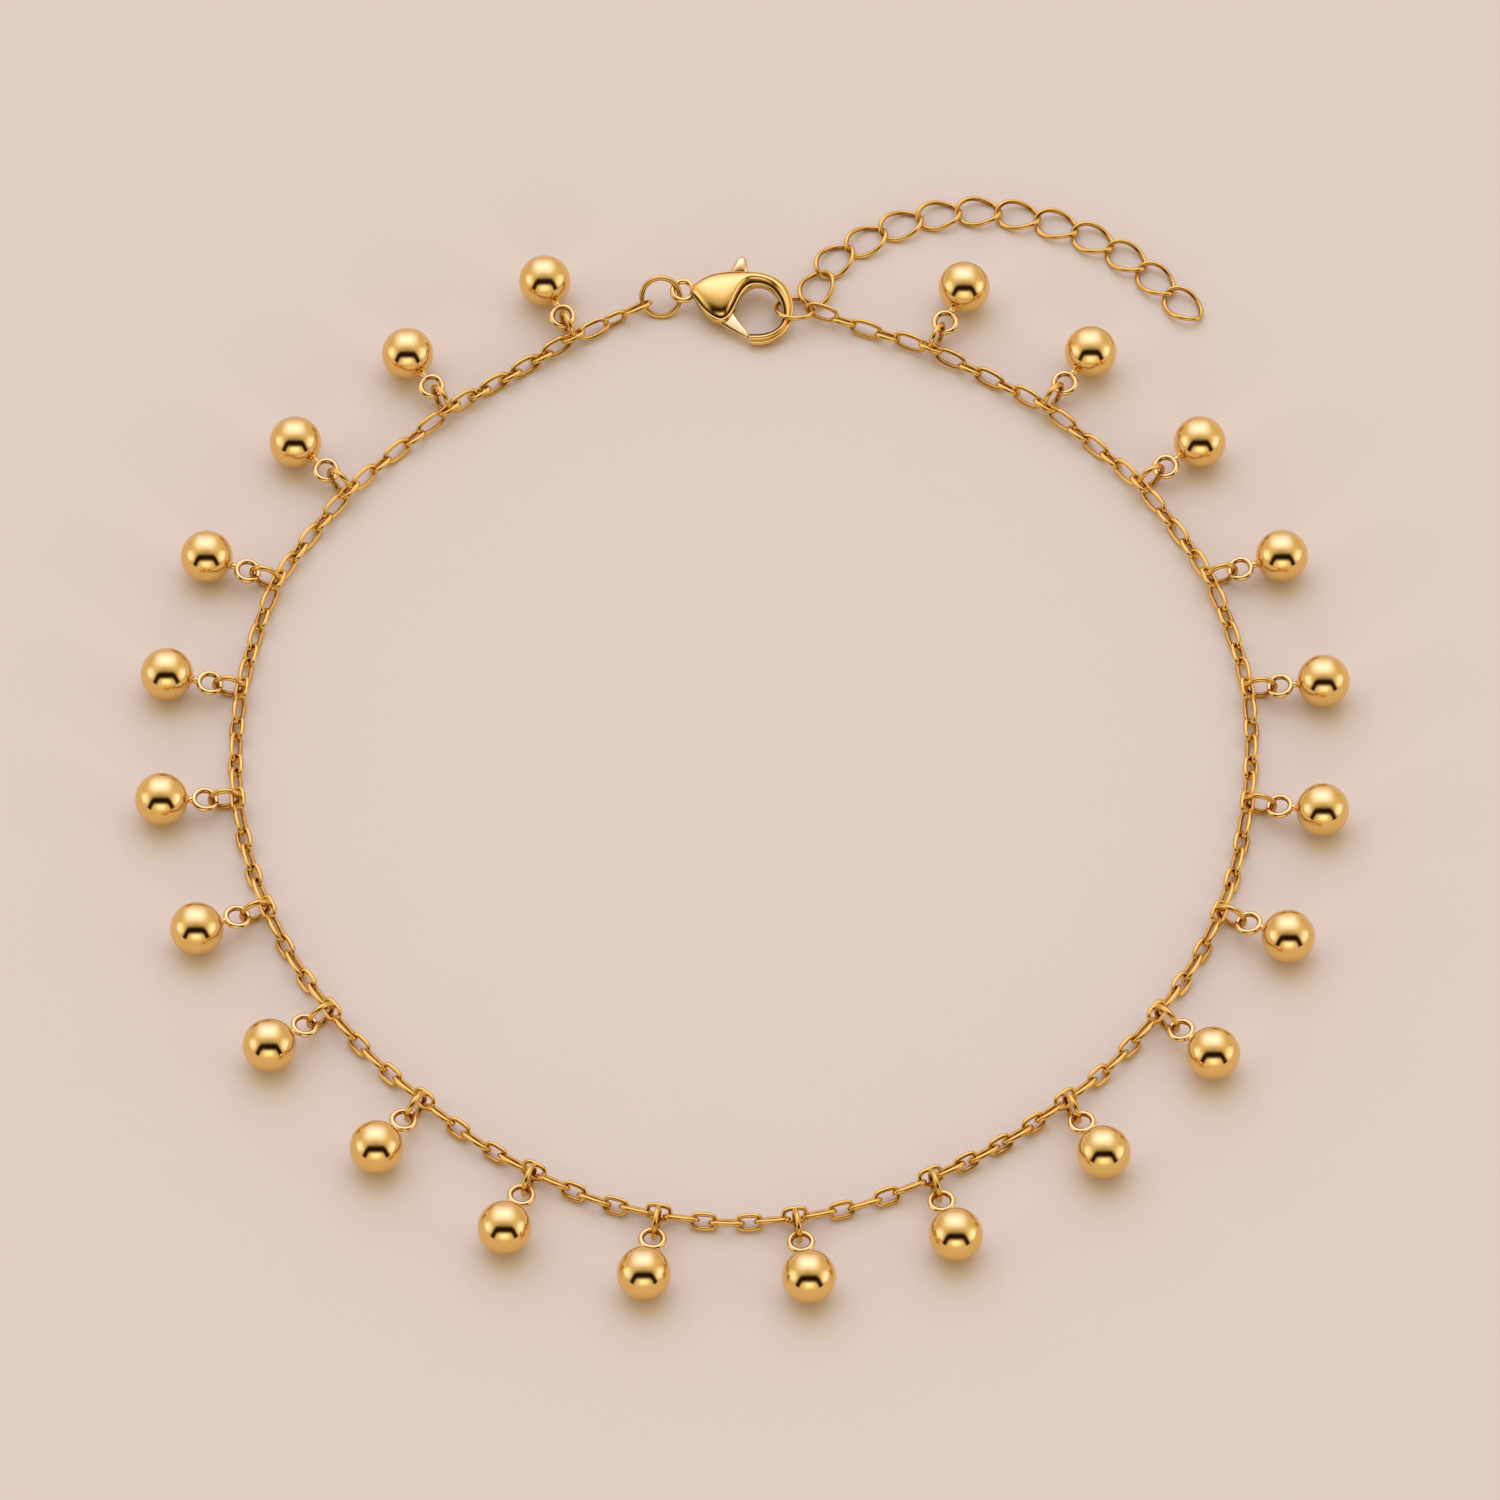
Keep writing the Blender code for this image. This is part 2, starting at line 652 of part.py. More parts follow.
def hook_mesh():
    """The clasp's hook, swept round the opening to its flat tip."""
    middles = [Vector((x * CLASP_LENGTH, y * CLASP_WIDTH, 0)) for x, y, _, _ in CLASP_HOOK]
    rings = []
    for i, (_, _, wide, thick) in enumerate(CLASP_HOOK):
        before = middles[max(i - 1, 0)]
        after = middles[min(i + 1, len(middles) - 1)]
        along = (after - before).normalized()
        across = Vector((-along.y, along.x, 0))
        ring = []
        for side in range(HOOK_SIDES):
            turn = 2 * math.pi * (side + 0.5) / HOOK_SIDES
            y, z = rounded(turn, wide * CLASP_THICKNESS / 2, thick * CLASP_THICKNESS / 2)
            ring.append(middles[i] + y * across + Vector((0, 0, z)))
        rings.append(ring)
    return skin_rings(rings, False, "clasp_hook")


def pin_place():
    """The lever's pin in the clasp's own frame."""
    return Vector((PIN_PLACE[0] * CLASP_LENGTH, PIN_PLACE[1] * CLASP_WIDTH, 0))


def slab(outline, thickness, name):
    """A flat plate of the given outline, centred on the clasp's middle plane."""
    rings = [[Vector((x, y, z)) for x, y in outline] for z in (-thickness / 2, thickness / 2)]
    return skin_rings(rings, False, name)


def disc(centre, diameter, sides):
    """The outline of a disc."""
    points = []
    for i in range(sides):
        turn = 2 * math.pi * i / sides
        points.append((centre.x + diameter / 2 * math.cos(turn), centre.y + diameter / 2 * math.sin(turn)))
    return points


def spoked(centre, hub, spokes):
    """The outline of a round hub with spokes. Each spoke: first and last angle, reach, root and tip width."""
    points = []
    for i, (first, last, reach, root, tip) in enumerate(spokes):
        root_reach = math.sqrt((hub / 2) ** 2 - (root / 2) ** 2)
        middle = (first + last) / 2
        points.append(polar(centre, first, root_reach, -root / 2))
        points.append(polar(centre, first, reach, -tip / 2))
        if last > first:
            points.append(polar(centre, middle, reach, 0.0))
        points.append(polar(centre, last, reach, tip / 2))
        points.append(polar(centre, last, root_reach, root / 2))
        following = spokes[(i + 1) % len(spokes)]
        arc_start = last + math.asin(root / hub)
        arc_end = following[0] - math.asin(following[3] / hub)
        if arc_end < arc_start:
            arc_end += 2 * math.pi
        steps = max(2, round((arc_end - arc_start) * BODY_SIDES / (2 * math.pi)))
        for step in range(1, steps):
            turn = arc_start + (arc_end - arc_start) * step / steps
            points.append(polar(centre, turn, hub / 2, 0.0))
    return points


def polar(centre, angle, reach, aside):
    """A point at a reach along a direction and a step to its left."""
    along = Vector((math.cos(angle), math.sin(angle)))
    across = Vector((-along.y, along.x))
    return tuple(centre.to_2d() + reach * along + aside * across)


def make_clasp_body(metal):
    """The clasp's domed body with its eye and hook, slotted for the lever, and the lever's pin."""
    pin = pin_place()
    eye = round_ring(CLASP_EYE_DIAMETER, CLASP_EYE_WIRE, LARGE_RING_STEPS, LARGE_RING_SIDES, "clasp_eye")
    parts = [add_piece(mesh.name, mesh, metal) for mesh in (body_mesh(), hook_mesh(), eye)]
    body = add_piece("clasp_body", fuse("clasp_body", parts), metal)
    spare = 2 * LEVER_EDGE_CLEARANCE
    outline = spoked(pin, LEVER_HUB_DIAMETER + spare, [
        (LEVER_GATE_ANGLE, LEVER_GATE_ANGLE + LEVER_OPENING, LEVER_GATE_LENGTH,
         LEVER_GATE_ROOT + spare, LEVER_GATE_TIP + spare),
        (LEVER_ARM_ANGLE, LEVER_ARM_ANGLE + LEVER_OPENING, LEVER_TAB_REACH,
         LEVER_ARM_WIDTH + spare, LEVER_ARM_WIDTH + spare),
    ])
    slot = slab(outline, LEVER_THICKNESS + 2 * LEVER_SIDE_CLEARANCE, "lever_slot")
    cut(body, [add_piece("lever_slot", slot, metal)])
    rod = add_piece("pin", slab(disc(pin, PIN_DIAMETER, 8), PIN_LENGTH, "pin"), metal)
    add_piece("clasp_body", fuse("clasp_body", [body, rod]), metal, clasp_matrix())


def make_clasp_lever(metal):
    """The sprung lever: its thumb tab and its gate turn together on the pin."""
    pin = pin_place()
    outline = spoked(pin, LEVER_HUB_DIAMETER, [
        (LEVER_GATE_ANGLE, LEVER_GATE_ANGLE, LEVER_GATE_LENGTH, LEVER_GATE_ROOT, LEVER_GATE_TIP),
        (LEVER_ARM_ANGLE, LEVER_ARM_ANGLE, LEVER_TAB_REACH, LEVER_ARM_WIDTH, LEVER_ARM_WIDTH),
    ])
    lever = add_piece("clasp_lever", slab(outline, LEVER_THICKNESS, "clasp_lever"), metal)
    bore = slab(disc(pin, PIN_DIAMETER + 2 * PIN_CLEARANCE, 8), PIN_LENGTH, "bore")
    cut(lever, [add_piece("bore", bore, metal)])
    lever.data.transform(Matrix.Translation(-pin))
    lever.matrix_world = clasp_matrix() @ Matrix.Translation(pin)


def lay_on_surface():
    """Put the origin under the middle of the whole choker, on the surface it lies on."""
    bpy.context.view_layer.update()
    pieces = list(bpy.data.objects)
    corners = [piece.matrix_world @ point.co for piece in pieces for point in piece.data.vertices]
    low = Vector([min(corner[axis] for corner in corners) for axis in range(3)])
    high = Vector([max(corner[axis] for corner in corners) for axis in range(3)])
    shift = Vector(((low.x + high.x) / 2, (low.y + high.y) / 2, low.z))
    for piece in pieces:
        piece.matrix_world = Matrix.Translation(-shift) @ piece.matrix_world


def main():
    """Build the whole choker."""
    clear_scene()
    ball_metal = make_metal("ball_gold", BALL_GOLD, BALL_ROUGHNESS)
    ring_metal = make_metal("ring_gold", RING_GOLD, RING_ROUGHNESS)
    chain_metal = make_metal("chain_gold", CHAIN_GOLD, CHAIN_ROUGHNESS)
    clasp_metal = make_metal("clasp_gold", CLASP_GOLD, CLASP_ROUGHNESS)
    route = chain_route()
    make_chain(route, chain_metal)
    make_drops(route, ball_metal, ring_metal)
    make_extension(chain_metal)
    make_large_rings(ring_metal)
    make_clasp_body(clasp_metal)
    make_clasp_lever(clasp_metal)
    lay_on_surface()


main()
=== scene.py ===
import math

import bpy
from mathutils import Matrix, Vector, kdtree


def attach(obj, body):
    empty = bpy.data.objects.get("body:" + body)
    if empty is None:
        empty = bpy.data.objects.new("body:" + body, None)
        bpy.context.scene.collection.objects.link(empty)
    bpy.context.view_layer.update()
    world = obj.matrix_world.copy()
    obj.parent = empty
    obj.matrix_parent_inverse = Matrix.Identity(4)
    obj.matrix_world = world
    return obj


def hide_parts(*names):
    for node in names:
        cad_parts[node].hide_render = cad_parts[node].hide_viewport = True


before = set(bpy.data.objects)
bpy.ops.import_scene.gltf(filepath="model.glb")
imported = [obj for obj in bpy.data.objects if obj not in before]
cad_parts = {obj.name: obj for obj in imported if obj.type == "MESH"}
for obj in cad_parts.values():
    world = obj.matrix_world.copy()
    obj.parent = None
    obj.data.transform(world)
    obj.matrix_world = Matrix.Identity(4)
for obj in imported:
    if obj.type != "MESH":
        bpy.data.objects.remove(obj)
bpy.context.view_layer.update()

bl_info = {
    "name": "Ball Drop Choker",
    "version": (1, 0, 0),
    "blender": (4, 5, 0),
    "location": "3D Viewport > Sidebar > Choker",
    "description": "Makes a cable-chain choker hung with polished ball drops, and a studio to show it",
    "category": "Object",
}

MM = 0.001
UP = Vector((0.0, 0.0, 1.0))
RIGHT = Vector((1.0, 0.0, 0.0))

# Links of chain before the first drop and after the last.
LINKS_TO_FIRST_DROP = 3
LINKS_FROM_LAST_DROP = 5

# The jump ring that shows where the frame has its origin.
SHIFT_RING = 18

# One row for each drop: x and y in millimetres, links of chain since the drop before, the drop's lean in
# degrees and its slack in millimetres.
CHAIN_ROUTE = [
    (-19.8, 54.3, LINKS_TO_FIRST_DROP, -8, 0.9),
    (-34.0, 44.2, 8, -4, 0.2),
    (-45.3, 33.0, 6, -3, 0.1),
    (-53.2, 20.6, 6, 7, 0.1),
    (-56.9, 6.0, 6, 0, 0.0),
    (-57.0, -8.7, 6, -1, 0.0),
    (-53.3, -23.0, 6, 3, 0.0),
    (-45.9, -36.3, 6, 3, 0.0),
    (-35.4, -47.8, 6, 6, 0.0),
    (-23.1, -56.9, 6, 8, 0.0),
    (-9.3, -62.2, 6, 1, 0.0),
    (5.7, -62.6, 6, 2, 0.0),
    (20.7, -57.6, 6, -8, 0.0),
    (35.7, -47.8, 8, -11, 0.0),
    (46.1, -36.6, 6, -9, 0.0),
    (53.3, -23.6, 6, -6, 0.0),
    (56.8, -9.2, 6, -4, 0.0),
    (57.2, 6.0, 6, -5, 0.0),
    (53.2, 21.0, 6, -8, 0.0),
    (45.6, 33.8, 6, -2, 0.1),
    (34.8, 44.6, 6, 0, 0.0),
    (21.7, 52.7, 6, 0, 0.0),
]
EXTENSION_ROUTE = [
    (10.8, 65.9), (18.5, 70.8), (27.2, 72.6), (36.3, 70.8), (44.7, 66.0), (51.6, 58.8),
]
CLASP_EYE_PLACE = (-7.05, 60.38)
CLASP_RING_PLACE = (-9.6, 59.78)
END_RING_PLACE = (6.0, 58.4)

# Where on its ring each chain end is hung, in degrees round the ring from +X, and which way the extension
# sets out.
CHAIN_START_ON_RING = 205
CHAIN_END_ON_RING = -8
EXTENSION_START_ON_RING = 45
EXTENSION_START_TURN = math.radians(64)

# The clasp's ribs, eye to hook tip, in millimetres from the eye's middle. Columns: inner edge x and y,
# outer edge x and y, half thickness, flange half thickness, inner and outer flange width.
CLASP_RIBS = [
    (1.05, -0.60, 1.10, 0.50, 0.50, 0.42, 0.14, 0.05),
    (1.48, -1.38, 1.75, 0.95, 0.84, 0.52, 0.36, 0.08),
    (2.10, -2.42, 2.62, 1.48, 1.12, 0.62, 0.50, 0.10),
    (2.95, -3.38, 3.65, 1.88, 1.30, 0.68, 0.56, 0.11),
    (3.85, -4.00, 4.65, 2.08, 1.38, 0.72, 0.58, 0.12),
    (4.66, -4.14, 5.45, 2.16, 1.40, 0.74, 0.64, 0.13),
    (5.36, -3.68, 6.10, 2.18, 1.38, 0.74, 1.05, 0.14),
    (5.84, -2.85, 6.65, 2.19, 1.32, 0.73, 1.40, 0.15),
    (6.22, -1.96, 7.20, 2.19, 1.24, 0.71, 1.80, 0.16),
    (6.62, -1.10, 7.78, 2.18, 1.16, 0.68, 1.85, 0.17),
    (7.16, -0.30, 8.42, 2.14, 1.08, 0.64, 1.45, 0.18),
    (7.86, 0.26, 9.15, 2.06, 1.02, 0.60, 0.92, 0.20),
    (8.68, 0.48, 9.92, 1.86, 0.96, 0.56, 0.64, 0.22),
    (9.50, 0.34, 10.68, 1.55, 0.92, 0.52, 0.52, 0.24),
    (10.26, -0.10, 11.36, 1.12, 0.88, 0.48, 0.46, 0.26),
    (10.88, -0.80, 11.96, 0.52, 0.85, 0.44, 0.41, 0.28),
    (11.32, -1.62, 12.44, -0.34, 0.82, 0.41, 0.37, 0.30),
    (11.56, -2.50, 12.74, -1.38, 0.80, 0.38, 0.33, 0.32),
    (11.60, -3.30, 12.82, -2.50, 0.78, 0.36, 0.30, 0.34),
    (11.42, -4.00, 12.64, -3.64, 0.76, 0.34, 0.27, 0.37),
    (11.04, -4.60, 12.20, -4.76, 0.74, 0.33, 0.24, 0.40),
    (10.44, -5.06, 11.50, -5.70, 0.72, 0.32, 0.22, 0.43),
    (9.72, -5.36, 10.55, -6.38, 0.70, 0.32, 0.20, 0.45),
    (8.92, -5.50, 9.46, -6.72, 0.68, 0.32, 0.18, 0.45),
    (8.20, -5.52, 8.42, -6.78, 0.65, 0.32, 0.16, 0.43),
    (7.70, -5.52, 7.74, -6.66, 0.56, 0.30, 0.13, 0.38),
]

# How high the rim, the groove's floor and the outer step lie, over the flange's half thickness, the rim's
# limit over the dome's height, how full the dome is on its inner and its outer side, and how the painted
# shade in the groove fades.
RIM_HEIGHT = 1.12
RIM_LIMIT = 0.9
GROOVE_FLOOR = 0.6
INNER_FULLNESS = 1.15
OUTER_FULLNESS = 0.75
GROOVE_SHADE_FADE = 0.7

# The lever's pin, from the eye's middle, and the slot in the body round it, from the pin.
LEVER_PIN = (4.296, -2.76)
LEVER_SLOT = [
    (-0.9, -0.4), (0.1, -1.3), (1.9, -2.4), (2.6, -1.5), (1.7, 0.6), (3.3, 5.6), (3.2, 7.0), (-1.6, 7.0),
    (-1.5, 4.6), (-1.0, 0.6),
]

# Sections of the lever's arm and thumb tab, from its pin. Columns: left x, y, right x, half thickness.
LEVER_ARM = [
    (-0.30, 0.55, 0.90, 0.34), (0.40, 2.60, 1.60, 0.34), (0.95, 4.40, 2.90, 0.34), (1.05, 4.90, 3.26, 0.62),
    (1.34, 5.45, 3.24, 0.76), (1.62, 5.95, 3.20, 0.78), (1.86, 6.40, 3.14, 0.74), (2.06, 6.72, 3.04, 0.60),
    (2.28, 6.92, 2.86, 0.32),
]
TAB_FULLNESS = (0.85, 0.75)

# Sections of its gate, from its pin. Columns: upper x and y, lower x and y, share of the full thickness.
LEVER_GATE = [
    (0.10, 0.55, -0.70, -0.85, 0.9), (1.30, 0.30, 0.15, -1.50, 1.0), (1.98, -0.78, 1.20, -2.18, 1.0),
    (2.62, -1.68, 2.15, -2.74, 1.0), (3.10, -2.32, 2.85, -3.14, 0.95), (3.36, -2.66, 3.26, -3.36, 0.8),
]
GATE_EDGES = [(0, 0.55), (0.08, 0.9), (0.2, 1.0), (0.8, 1.0), (0.92, 0.9), (1, 0.55)]

# A ball's neck: how wide it starts from the ball over its middle, then the share of its length and its
# radius there over that of its middle.
NECK_FLARE = 1.5
NECK_PROFILE = [(0.15, 1.16), (0.4, 1.0), (0.7, 0.98), (1.0, 1.12), (1.5, 0.9)]

# How square the two kinds of cable link are, and how pointed the curb links: 1 is a plain oval.
SHORT_FULLNESS = 0.62
LONG_FULLNESS = 0.82
CURB_FULLNESS = 1.12
WOBBLE_SEED = 4

# How fast the first curb links come down from the end ring, link by link.
CURB_SETTLING = 3

# How finely each piece is drawn: steps along its path and sides round it.
ROUTE_STEPS = 24
LOOP_STEPS, LOOP_SIDES = 32, 12
RING_STEPS, LARGE_RING_STEPS, EYE_STEPS, RING_SIDES = 32, 64, 48, 12
LINK_STEPS, LINK_SIDES = 20, 8
CURB_STEPS, CURB_SIDES = 36, 10
BALL_ROWS, BALL_SIDES = 30, 60
RIB_STEPS, RIB_SIDES = 3, 12
TAB_SIDES, HUB_SIDES = 20, 24

# Panels round the camera, as a ball mirrors them: middle, half size, softness, and the dark ones' slant
# or the light ones' colour.
DARK_PANELS = [
    ((0.0, -0.045), (0.33, 0.13), 0.08, 0.0),
    ((-0.27, -0.22), (0.10, 0.23), 0.06, -0.5),
    ((0.27, -0.22), (0.10, 0.23), 0.06, 0.5),
]
DARKEST = (0.018, 0.005, 0.002)
LIGHT_PANELS = [
    ((-0.04, 0.54), (0.34, 0.21), 0.20, (0.65, 0.80, 2.10)),
    ((0.0, -0.28), (0.15, 0.09), 0.10, (0.65, 0.72, 1.10)),
    ((-0.60, 0.04), (0.09, 0.15), 0.12, (0.80, 0.82, 1.50)),
    ((0.61, 0.02), (0.10, 0.17), 0.12, (0.80, 0.82, 1.50)),
]

# How fine the unevenness of the polish is.
CLOUD_SCALE = 900.0
CLOUD_DETAIL = 3.0

# The studio's soft light round them, and a soft shade in its middle: middle, spread, and the shade's depth.
GLOW = ((0.0, 0.1), (0.85, 0.85))
GLOW_COLOUR = (0.95, 0.85, 0.68)
FAR_COLOUR = (0.34, 0.26, 0.16)
SHADE = ((0.0, 0.08), (0.40, 0.22), 0.55)


def make_mesh(name, vertices, faces):
    """A smooth-shaded mesh."""
    mesh = bpy.data.meshes.new(name)
    mesh.from_pydata([tuple(v) for v in vertices], [], faces)
    mesh.validate()
    mesh.shade_smooth()
    return mesh


def add_object(name, mesh, metal=None):
    """A mesh as an object of the open scene."""
    if metal is not None:
        mesh.materials.clear()
        mesh.materials.append(metal)
    thing = bpy.data.objects.new(name, mesh)
    bpy.context.scene.collection.objects.link(thing)
    return thing


def skin(rings, closed):
    """Vertices and faces of a surface through rings of points, with capped ends if it isn't closed."""
    sides = len(rings[0])
    vertices = [point for ring in rings for point in ring]
    faces = []
    for row in range(len(rings) if closed else len(rings) - 1):
        low = row * sides
        high = (row + 1) % len(rings) * sides
        for side in range(sides):
            following = (side + 1) % sides
            faces.append((low + side, low + following, high + following, high + side))
    if not closed:
        faces.append(tuple(reversed(range(sides))))
        faces.append(tuple(range(len(vertices) - sides, len(vertices))))
    return vertices, faces


def join_shapes(shapes):
    """Several lists of vertices and faces as one."""
    vertices, faces = [], []
    for some_vertices, some_faces in shapes:
        first = len(vertices)
        vertices.extend(some_vertices)
        faces.extend(tuple(first + i for i in face) for face in some_faces)
    return vertices, faces


def turns(steps):
    """Angles in even steps once round a circle."""
    return [2 * math.pi * i / steps for i in range(steps)]


def wire_round(points, wire, sides):
    """A closed loop of round wire through points."""
    rings = []
    for i, point in enumerate(points):
        along = (points[(i + 1) % len(points)] - points[i - 1]).normalized()
        out = along.cross(UP).normalized()
        rise = out.cross(along)
        rings.append([point + wire / 2 * (math.cos(turn) * out + math.sin(turn) * rise)
                      for turn in turns(sides)])
    return skin(rings, True)


def power(value, exponent):
    """A signed power, for ovals between a round and a box."""
    return math.copysign(abs(value) ** exponent, value)


def oval_points(length, width, wire, steps, fullness=1.0, twist=0.0):
    """The middle line of a link: fullness under 1 squares its sides, over 1 points its ends."""
    return [Vector((
        (length - wire) / 2 * power(math.cos(turn), min(fullness, 1.0)),
        (width - wire) / 2 * power(math.sin(turn), fullness),
        -twist * math.sin(2 * turn))) for turn in turns(steps)]


def basis(place, x_axis, y_axis):
    """A matrix from an origin and two directions."""
    x = x_axis.normalized()
    z = x.cross(y_axis).normalized()
    y = z.cross(x)
    return Matrix.Translation(place) @ Matrix((x, y, z)).transposed().to_4x4()


def catmull_rom(before, start, end, after, t):
    """A point on the spline from start to end."""
    return 0.5 * (2 * start + (end - before) * t + (2 * before - 5 * start + 4 * end - after) * t ** 2
                  + (3 * start - before - 3 * end + after) * t ** 3)


class Route:
    """A smooth curve through chosen points, measured along its length."""

    def __init__(self, points):
        self.samples = [points[0].copy()]
        self.marks = [0.0]
        self.knots = [0.0]
        padded = [2 * points[0] - points[1]] + points + [2 * points[-1] - points[-2]]
        for i in range(1, len(padded) - 2):
            for step in range(1, ROUTE_STEPS + 1):
                self.samples.append(catmull_rom(*padded[i - 1:i + 3], step / ROUTE_STEPS))
                self.marks.append(self.marks[-1] + (self.samples[-1] - self.samples[-2]).length)
            self.knots.append(self.marks[-1])

    def at(self, distance):
        """The point and the direction at a distance from the start."""
        last = len(self.marks) - 2
        i = 0
        while i < last and self.marks[i + 1] < distance:
            i += 1
        share = (distance - self.marks[i]) / (self.marks[i + 1] - self.marks[i])
        before = self.samples[max(i - 1, 0)]
        after = self.samples[min(i + 2, last + 1)]
        return self.samples[i].lerp(self.samples[i + 1], share), (after - before).normalized()

    def at_level(self, distance):
        """The same with the direction brought level."""
        place, along = self.at(distance)
        along.z = 0.0
        return place, along.normalized()


def length_prop(name, description, millimetres):
    """A length that the user may change."""
    return bpy.props.FloatProperty(
        name=name, description=description, default=millimetres * MM, subtype="DISTANCE")


def angle_prop(name, description, degrees):
    """An angle that the user may change."""
    return bpy.props.FloatProperty(
        name=name, description=description, default=math.radians(degrees), subtype="ANGLE")


def share_prop(name, description, value):
    """A plain number that the user may change."""
    return bpy.props.FloatProperty(name=name, description=description, default=value)


def colour_prop(name, description, value):
    """A colour that the user may change."""
    return bpy.props.FloatVectorProperty(
        name=name, description=description, default=value, subtype="COLOR", size=3, min=0.0, max=1.0)


class ChokerSizes(bpy.types.PropertyGroup):
    """Sizes of the choker's pieces."""

    ball: length_prop("Ball", "Diameter of each ball", 6.0)
    neck: length_prop("Neck", "From the ball to its loop", 0.4)
    neck_radius: length_prop("Neck radius", "Radius of the neck at its middle", 0.36)
    loop: length_prop("Loop", "Outer diameter of each ball's loop", 3.1)
    loop_wire: length_prop("Loop wire", "Wire of each ball's loop", 0.6)
    loop_dip: angle_prop("Loop dip", "How far each loop dips to its ring", 10)
    ring: length_prop("Jump ring", "Outer diameter of the small jump rings", 3.9)
    ring_wire: length_prop("Jump ring wire", "Wire of the small jump rings", 0.55)
    ring_slack: share_prop("Ring slack share", "Share of a drop's slack that its ring takes", 0.05)
    link_length: length_prop("Link length", "Mean outer length of a cable link", 3.6)
    link_difference: length_prop(
        "Link difference", "How much longer every second link is than its neighbours", 1.1)
    link_width: length_prop("Link width", "Outer width of a cable link", 2.05)
    link_wire: length_prop("Link wire", "Wire of the cable links", 0.48)
    link_roll: angle_prop("Link roll", "How far the drops' links are rolled about the chain", 38)
    link_wobble: angle_prop("Link wobble", "How far a link may be off its roll", 4)
    first_turn: angle_prop("First links' turn", "Turn from link to link before the first drop", 60)
    chain_height: length_prop(
        "Chain height", "Height of the chain's middle where it lies on the surface", 0.82)
    chain_lift: length_prop("Chain lift", "How far the rings hold the chain up at a drop", 0.93)
    wire_swell: share_prop("Wire swell", "Thickness of the plated wires over the bare wire's", 1.12)
    clearance: length_prop("Clearance", "Gap between wires that hang in each other", 0.1)
    curb_count: bpy.props.IntProperty(
        name="Curb links", description="Links of the extension chain", default=12)
    curb_length: length_prop("Curb length", "Outer length of a curb link", 5.6)
    curb_width: length_prop("Curb width", "Outer width of a curb link", 4.1)
    curb_wire: length_prop("Curb wire", "Wire of the curb links", 0.5)
    curb_twist: length_prop("Curb twist", "Rise and fall of a curb link's wire", 0.4)
    curb_bite: length_prop("Curb bite", "How far the touching curb links sink into each other", 0.06)
    curb_lift: length_prop("Curb lift", "How far the end ring holds up the first curb link", 0.25)
    large_ring: length_prop("Large ring", "Outer diameter of the two large rings", 5.0)
    clasp_ring_wire: length_prop("Clasp ring wire", "Wire of the ring in the clasp's eye", 0.55)
    end_ring_wire: length_prop("End ring wire", "Wire of the ring in the clasp's hook", 0.5)
    clasp_ring_tilt: angle_prop("Clasp ring tilt", "Lean of the ring in the clasp's eye", 42)
    end_ring_tilt: angle_prop("End ring tilt", "Lean of the ring in the clasp's hook", -25)
    end_ring_height: length_prop("End ring height", "Height of the end ring's middle", 1.45)
    clasp_tilt: angle_prop("Clasp tilt", "Lean of the clasp", 12)
    eye_height: length_prop("Eye height", "Height of the clasp's eye", 2.15)
    eye: length_prop("Eye", "Outer diameter of the clasp's eye", 3.0)
    eye_wire: length_prop("Eye wire", "Wire of the clasp's eye", 0.62)
    # Painted shade: how far the dark blended into the clasp's groove reaches.
    groove_shade_reach: length_prop("Groove reach", "How far the dark of the clasp's groove reaches", 0.5)
    lever_thickness: length_prop("Lever thickness", "Thickness of the lever inside the clasp", 0.75)
    lever_play: length_prop("Lever play", "Gap at each side of the lever in its slot", 0.1)
    lever_hub: length_prop("Lever hub", "Diameter of the lever round its pin", 1.7)


class ChokerFinish(bpy.types.PropertyGroup):
    """Colours, painted shade and polish."""

    ball_gold: colour_prop("Ball gold", "Colour of the balls", (0.90, 0.60, 0.20))
    wire_gold: colour_prop("Wire gold", "Colour of the chains and rings", (0.80, 0.48, 0.10))
    clasp_gold: colour_prop("Clasp gold", "Colour of the clasp", (0.90, 0.58, 0.15))
    lever_gold: colour_prop("Lever gold", "Paler gold of the clasp's lever", (0.92, 0.66, 0.28))
    # Painted shade: the dark colour blended into the clasp's grooves, where shade falls.
    painted_groove_shade: colour_prop("Recess gold", "Colour deep in the clasp's grooves", (0.07, 0.03, 0.008))
    # Painted shade inside the links, rings and loops: its dark colour, then how strongly it is blended in.
    painted_inside_shade: colour_prop("Inside gold", "Colour inside the links and rings", (0.32, 0.11, 0.01))
    inside_shade_depth: share_prop("Inside depth", "Share of the inside gold inside the links and rings", 0.8)
    ball_polish: share_prop("Ball roughness", "Roughness of the balls", 0.11)
    wire_polish: share_prop("Wire roughness", "Roughness of the chains and rings", 0.13)
    clasp_polish: share_prop("Clasp roughness", "Roughness of the clasp", 0.16)
    ball_grain: share_prop("Ball grain", "How far the balls' roughness varies", 0.012)
    grain: share_prop("Grain", "How far the roughness of the other pieces varies", 0.03)


class ChokerStudio(bpy.types.PropertyGroup):
    """The plain surface, the light and the camera."""

    surface: colour_prop("Surface", "Colour of the surface", (0.89, 0.76, 0.505))
    surface_half: length_prop("Surface reach", "From the middle of the surface to its edge", 900)
    light: share_prop("Light", "Strength of the studio's soft light", 1.1)
    elevation: angle_prop("Camera elevation", "Camera's angle above the surface", 58)
    distance: length_prop("Camera distance", "From the camera to the choker", 1200)
    lens: share_prop("Lens", "Focal length in millimetres", 254.4)
    aim: bpy.props.FloatVectorProperty(
        name="Aim", description="The point that the camera looks at", default=(0.65 * MM, -1.48 * MM, 0.0),
        subtype="TRANSLATION", size=3)


def settings():
    """The sizes and the finish that the sidebar shows."""
    scene = bpy.context.scene
    return scene.choker_sizes, scene.choker_finish


def node(tree, kind, **values):
    """Add a node and set its plain properties."""
    made = tree.nodes.new(kind)
    for key, value in values.items():
        setattr(made, key, value)
    return made


